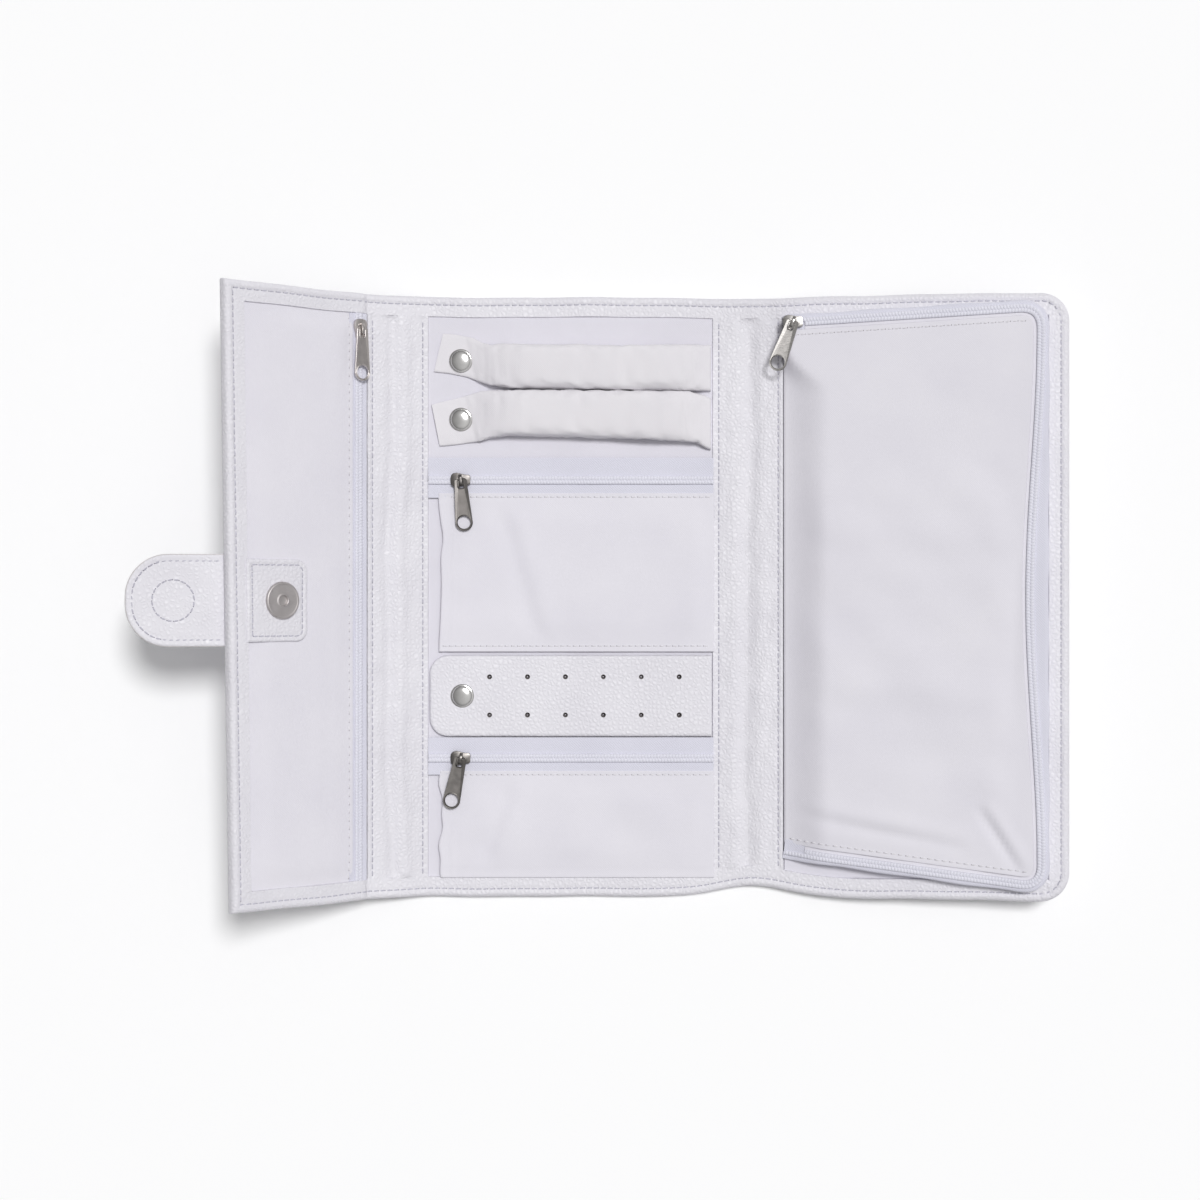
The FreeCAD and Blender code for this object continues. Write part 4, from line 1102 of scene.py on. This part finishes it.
print("earring strip")
earring = {"low": -59.0, "high": 59.4, "middle": -41.5, "half": 17.0, "corner": 7.6, "flip": -1,
           "level": 1.75, "under": -0.72, "edge": 1.1, "rows": (-8.0, 8.0),
           "holes": [-33.9 + 15.9 * i for i in range(6)],
           "holeLow": 0.06, "holeHigh": 1.25, "holeDeep": 3.8, "holeAt": 4.5, "blend": (0.0594, 0.0545)}
bm, _ = leatherSlab(earring, lambda s, v: earring["level"] + 0.16 * drift(s, v, 91, 40.0),
                    lambda s, v: earring["under"], earring["edge"], step=1.6)
nodes = ["earring_strip_back", "earring_strip_front"]
piece = makePiece("earringStrip", bm, [pebbledLeather, punchedEdge], nodes, lay=None)
piece.data.transform(Matrix.Translation((0, 0, case["level"] * 0.001)))
cutter = bmesh.new()
for x in earring["holes"]:
    for dy in earring["rows"]:
        spot = Matrix.Translation((x, earring["middle"] + dy, earring["holeAt"]))
        bmesh.ops.create_cone(cutter, segments=20, radius1=earring["holeLow"], radius2=earring["holeHigh"],
                              depth=earring["holeDeep"], matrix=spot, cap_ends=True)
# the cutter gives the hole walls the near-black colour, painted shade inside the holes
for face in cutter.faces:
    face.material_index = 1
bmesh.ops.scale(cutter, vec=(0.001, 0.001, 0.001), verts=cutter.verts[:])
cutObject = addObject("holeCutter", cutter, [pebbledLeather, punchedEdge])
punch = piece.modifiers.new("holes", "BOOLEAN")
punch.object, punch.operation, punch.solver = cutObject, "DIFFERENCE", "EXACT"
bpy.context.view_layer.update()
cutStrip = bpy.data.meshes.new_from_object(piece.evaluated_get(bpy.context.evaluated_depsgraph_get()))
piece.modifiers.clear()
piece.data = cutStrip
bpy.data.objects.remove(cutObject)
spots = np.array([v.co for v in cutStrip.vertices], np.float32)
cutStrip.attributes["flatPlace"].data.foreach_set("vector", spots.ravel())
y = joints["earring_strip_lift"]["pos_m"][1]
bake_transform(piece)

print("snaps")


def lathe(profile, matrix, steps=48):
    # a round piece turned from (radius, height) points in mm
    bm = bmesh.new()
    verts = [bm.verts.new((r, 0, z)) for r, z in profile]
    for one, two in zip(verts, verts[1:]):
        bm.edges.new((one, two))
    bmesh.ops.spin(bm, geom=bm.verts[:] + bm.edges[:], cent=(0, 0, 0), axis=(0, 0, 1), angle=2 * math.pi,
                   steps=steps, use_merge=True)
    bmesh.ops.remove_doubles(bm, verts=bm.verts[:], dist=0.0005)
    bmesh.ops.transform(bm, matrix=matrix, verts=bm.verts[:])
    return bm


def arcPoints(r, z, wide, tall, start, steps):
    # an arc about (r, z) that ends level
    return [(r + wide * math.cos(t), z + tall * math.sin(t)) for t in np.linspace(start, math.pi / 2, steps)]


snap = {
    "cap": [(0, -0.2), (4.2, -0.2), (4.9, 0.0)] + arcPoints(4.5, 0.3, 0.6, 0.65, 0, 5) + [(4.2, 1.02)]
    + arcPoints(0, 1.02, 4.2, 0.85, 0.12, 9)[:-1] + [(0, 1.87)], "capTall": 1.87,
    "stud": [(0, 0), (3.6, 0), (3.8, 0.2), (3.5, 0.42), (1.5, 0.5), (1.3, 1.0), (1.65, 1.5), (1.5, 1.95),
             (0.9, 2.1), (0, 2.1)],
    "caps": {"upperCap": "upper_roll_snap", "lowerCap": "lower_roll_snap",
             "earringCap": "earring_strip_snap"},
}
studs, studLow = bmesh.new(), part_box("snap_studs")[0].z * 1000
for name, node in snap["caps"].items():
    low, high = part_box(node)
    x, y, _ = (low + high) * 500
    bm = lathe(snap["cap"], Matrix.Translation((x, y, high.z * 1000 - snap["capTall"])))
    makePiece(name, bm, [capChrome], [node], node[:-5], lay=None, sharp=40)
    joinMesh(studs, lathe(snap["stud"], Matrix.Translation((x, y, studLow)), steps=32))
makePiece("snapStuds", studs, [nickel], ["snap_studs"], "centre", lay=None, sharp=40)

magnet = {
    "v": -1.5, "socketAt": (-42.2, 2.0), "socketTilt": 40, "studAt": (83.4, -3.95), "studTilt": -7,
    "socket": [(0, 0.55), (1.75, 0.55), (1.95, 0.6), (2.05, 1.35), (2.3, 1.55), (2.6, 1.52), (2.85, 1.38),
               (3.1, 1.34), (3.4, 1.33), (6.2, 1.33), (6.45, 1.34), (6.65, 1.42), (6.85, 1.46), (7.2, 1.42),
               (7.5, 1.15), (7.65, 0.3), (7.4, 0.0), (0, 0.0)],
    "stud": [(0, -0.1), (7.3, -0.1), (7.6, 0.2), (7.55, 0.75), (7.0, 1.0), (2.6, 1.0), (1.9, 1.1), (1.7, 1.4),
             (1.65, 2.5), (1.2, 2.85), (0, 2.9)],
}


def tilted(fold, place, tilt):
    # on the unleaned strip, so that the two halves meet when the case is closed
    s, w = place
    spot = [c * 1000 for c in at(case[fold] + s, magnet["v"], w, layFlat)]
    return Matrix.Translation(spot) @ Matrix.Rotation(math.radians(tilt), 4, "Y")


bm = lathe(magnet["socket"], tilted("flapFold", magnet["socketAt"], magnet["socketTilt"]))
makePiece("magnetSocket", bm, [dullNickel], ["magnet_socket"], "flap", lay=None, sharp=40)
outward = Matrix.Rotation(math.pi, 4, "X")
bm = lathe(magnet["stud"], tilted("panelFold", magnet["studAt"], magnet["studTilt"]) @ outward)
makePiece("magnetStud", bm, [dullNickel], ["magnet_stud"], "right_panel", lay=None, sharp=40)

print("sliders and pulls")
slider = {
    "body": [(-4.2, 0.9), (-4.0, 1.9), (-3.2, 2.75), (-1.8, 3.05), (-0.2, 2.75), (1.6, 2.25), (3.4, 2.15),
             (4.0, 1.7), (4.1, 0.8)],
    "wedge": [(-3.9, 0), (-3.0, 0.75), (-1.6, 0.55), (-0.6, 0), (-1.6, -0.55), (-3.0, -0.75)],
    "bridge": [(-2.35, 2.4), (-2.35, 3.5), (-2.1, 4.1), (-1.5, 4.45), (-0.6, 4.6), (0.6, 4.6), (1.5, 4.45),
               (2.1, 4.1), (2.35, 3.5), (2.35, 2.4)],
    "bar": ((0, -0.65), (0, 0.65), (-0.65, 0.65), (-0.65, -0.65)),
    "bevel": 0.16, "low": (-0.6, 0.0), "top": (1.95, 2.6), "side": (1.15, 2.05), "rail": 0.55, "pivot": 3.3,
}
pull = {"neck": 2.55, "wide": 3.65, "long": 21.5, "ring": 2.75, "window": (0.45, 3.5, 1.25), "thick": 0.85,
        "rim": 0.5, "dish": 0.2, "cut": 0.5}


def bevelHard(bm, size, angle=35, segments=2):
    hard = [e for e in bm.edges if len(e.link_faces) == 2 and e.calc_face_angle(0) > math.radians(angle)]
    bmesh.ops.bevel(bm, geom=hard, offset=size, affect="EDGES", segments=segments, profile=0.5, material=-1)


def plateFrom(bm, loops, low, high):
    # a plate with the given outline, and holes for any further loops: its upper faces
    rim = []
    for loop in loops:
        verts = [bm.verts.new((x, y, low)) for x, y in loop]
        rim += [bm.edges.new(pair) for pair in zip(verts, verts[1:] + verts[:1])]
    faces = facesOf(bmesh.ops.triangle_fill(bm, edges=rim, use_beauty=True, normal=(0, 0, 1))["geom"])
    made = bmesh.ops.extrude_face_region(bm, geom=faces, use_keep_orig=True)["geom"]
    bmesh.ops.translate(bm, vec=(0, 0, high - low), verts=vertsOf(made))
    return facesOf(made)


def sliderBody(wedge):
    bm = bmesh.new()
    body = slider["body"] + [(x, -y) for x, y in reversed(slider["body"])]
    plateFrom(bm, [body], *slider["low"])
    plateFrom(bm, [body], *slider["top"])
    side = slider["body"][1:-1]
    for flip in (1, -1):
        inner = [(x, flip * (y - slider["rail"])) for x, y in reversed(side)]
        plateFrom(bm, [[(x, flip * y) for x, y in side] + inner], *slider["side"])
    if wedge:
        plateFrom(bm, [slider["wedge"]], -0.1, 2.0)
    bmesh.ops.recalc_face_normals(bm, faces=bm.faces[:])
    bevelHard(bm, slider["bevel"])
    return bm


def addBridge(bm, turn):
    # the arch that the pull hangs on, drawn out ring by ring
    line = slider["bridge"]
    arch = bmesh.new()
    ring = corners = None
    for i, (x, z) in enumerate(line):
        (x0, z0), (x1, z1) = line[max(i - 1, 0)], line[min(i + 1, len(line) - 1)]
        along = Vector((x1 - x0, 0, z1 - z0)).normalized()
        before = corners
        out = Vector((-along.z, 0, along.x))
        corners = [Vector((x, 0, z)) + out * o + Vector((0, y, 0)) for o, y in slider["bar"]]
        if ring is None:
            ring = arch.faces.new([arch.verts.new(c) for c in corners])
        else:
            made = bmesh.ops.extrude_face_region(arch, geom=[ring])["geom"]
            fresh = vertsOf(made)
            for vert in fresh:
                vert.co = corners[min(range(4), key=lambda k: (before[k] - vert.co).length)]
            ring = [face for face in facesOf(made) if all(vert in fresh for vert in face.verts)][0]
    bmesh.ops.recalc_face_normals(arch, faces=arch.faces[:])
    bevelHard(arch, 0.14, angle=50)
    bmesh.ops.rotate(arch, cent=(0, 0, 0), matrix=Matrix.Rotation(turn, 3, "Z"), verts=arch.verts[:])
    joinMesh(bm, arch)


def pullPlate():
    # lies along +x from its pivot: tapered, with a window at the bridge and a round eye at the end
    far, neck, cut = pull["long"] - pull["wide"], pull["neck"], pull["cut"]
    outer = [(-0.4, -neck + cut), (0.1, -neck)] + arc(far, 0, pull["wide"], -84, 84, 12)
    outer += [(0.1, neck), (-0.4, neck - cut)]
    low, high, half = pull["window"]
    window = [(low, -half), (high - cut, -half), (high, -half + cut)]
    window += [(x, -y) for x, y in reversed(window)]
    eye = arc(far, 0, pull["ring"], 0, 345, 15)
    bm = bmesh.new()
    thick = pull["thick"] / 2
    top = plateFrom(bm, [outer, window, eye], slider["pivot"] - thick, slider["pivot"] + thick)
    bmesh.ops.recalc_face_normals(bm, faces=bm.faces[:])
    bmesh.ops.inset_region(bm, faces=top, thickness=pull["rim"], depth=-pull["dish"], use_even_offset=True)
    bevelHard(bm, 0.09, angle=50, segments=1)
    return bm


def setAxes(bm, home, x, y, z):
    axes = Matrix((x, y, z)).transposed().to_4x4()
    bmesh.ops.transform(bm, matrix=home @ axes, verts=bm.verts[:])


# each slider and pull gets its own lit or shaded copy of the nickel: painted light and shade
for name, finish in (("upper", nickel), ("lower", darkNickel), ("flap", paleNickel), ("pouch", brightNickel)):
    pivot = Vector(joints[name + "_pull_lift"]["pos_m"]) * 1000
    swing = Vector(joints[name + "_pull_lift"]["axis"])
    run = Vector(joints[name + "_zip_run"]["axis"])
    up = run.cross(swing).normalized()
    up = up if up.z > 0 else -up
    home = Matrix.Translation(pivot - up * slider["pivot"])
    lie = swing.cross(up).normalized()
    across = up.cross(run)
    body = sliderBody(name != "pouch")
    addBridge(body, math.atan2(lie.dot(across), lie.dot(run)))
    setAxes(body, home, run, across, up)
    makePiece(name + "Slider", body, [finish], [name + "_zip_slider"], name + "_slider", None, 35)
    plate = pullPlate()
    setAxes(plate, home, lie, up.cross(lie), up)
    makePiece(name + "Pull", plate, [finish], [name + "_zip_pull"], name + "_pull", None, 14)

print("floor, light and camera")
floorGrid = bmesh.new()
bmesh.ops.create_grid(floorGrid, x_segments=1, y_segments=1, size=4)
bmesh.ops.translate(floorGrid, vec=(0, 0, -0.0003), verts=floorGrid.verts[:])
paper = {"Base Color": (0.97, 0.97, 0.975, 1), "Roughness": 0.9, "Specular IOR Level": 0.1}
addObject("floor", floorGrid, [newMaterial("paleFloor", **paper)[0]])

# a soft sky, pale overhead and darker low down, so that bright metal has something to mirror
world = bpy.data.worlds.new("studio")
scene.world = world
world.use_nodes = True
tree = world.node_tree
way = addNode(tree, "ShaderNodeSeparateXYZ", {0: addNode(tree, "ShaderNodeTexCoord").outputs["Generated"]})
lift = remap(tree, way.outputs["Z"], 0.0, 0.95, 0.06, 0.66)
dusk = maths(tree, "MULTIPLY", lift, remap(tree, way.outputs["X"], -0.5, 0.2, 0.52, 1.04, smooth=True))
tree.links.new(dusk, tree.nodes["Background"].inputs["Strength"])
tree.nodes["Background"].inputs["Color"].default_value = (1, 1, 1, 1)
lamp = bpy.data.lights.new("softKey", "SUN")
lamp.energy, lamp.angle = 2.0, math.radians(15)
key = bpy.data.objects.new("softKey", lamp)
key.rotation_euler = Vector((-0.19, -0.28, -0.94)).to_track_quat("-Z", "Y").to_euler()
scene.collection.objects.link(key)

eye = {"x": 12.4, "y": -1.3, "above": 900.0, "frame": 504.0}
camera = bpy.data.cameras.new("camera")
camera.sensor_width = 36
camera.lens = 36 * eye["above"] / eye["frame"]
camera.clip_end = 20
view = bpy.data.objects.new("camera", camera)
view.location = (eye["x"] * 0.001, eye["y"] * 0.001, (eye["above"] + case["level"]) * 0.001)
scene.collection.objects.link(view)
scene.camera = view
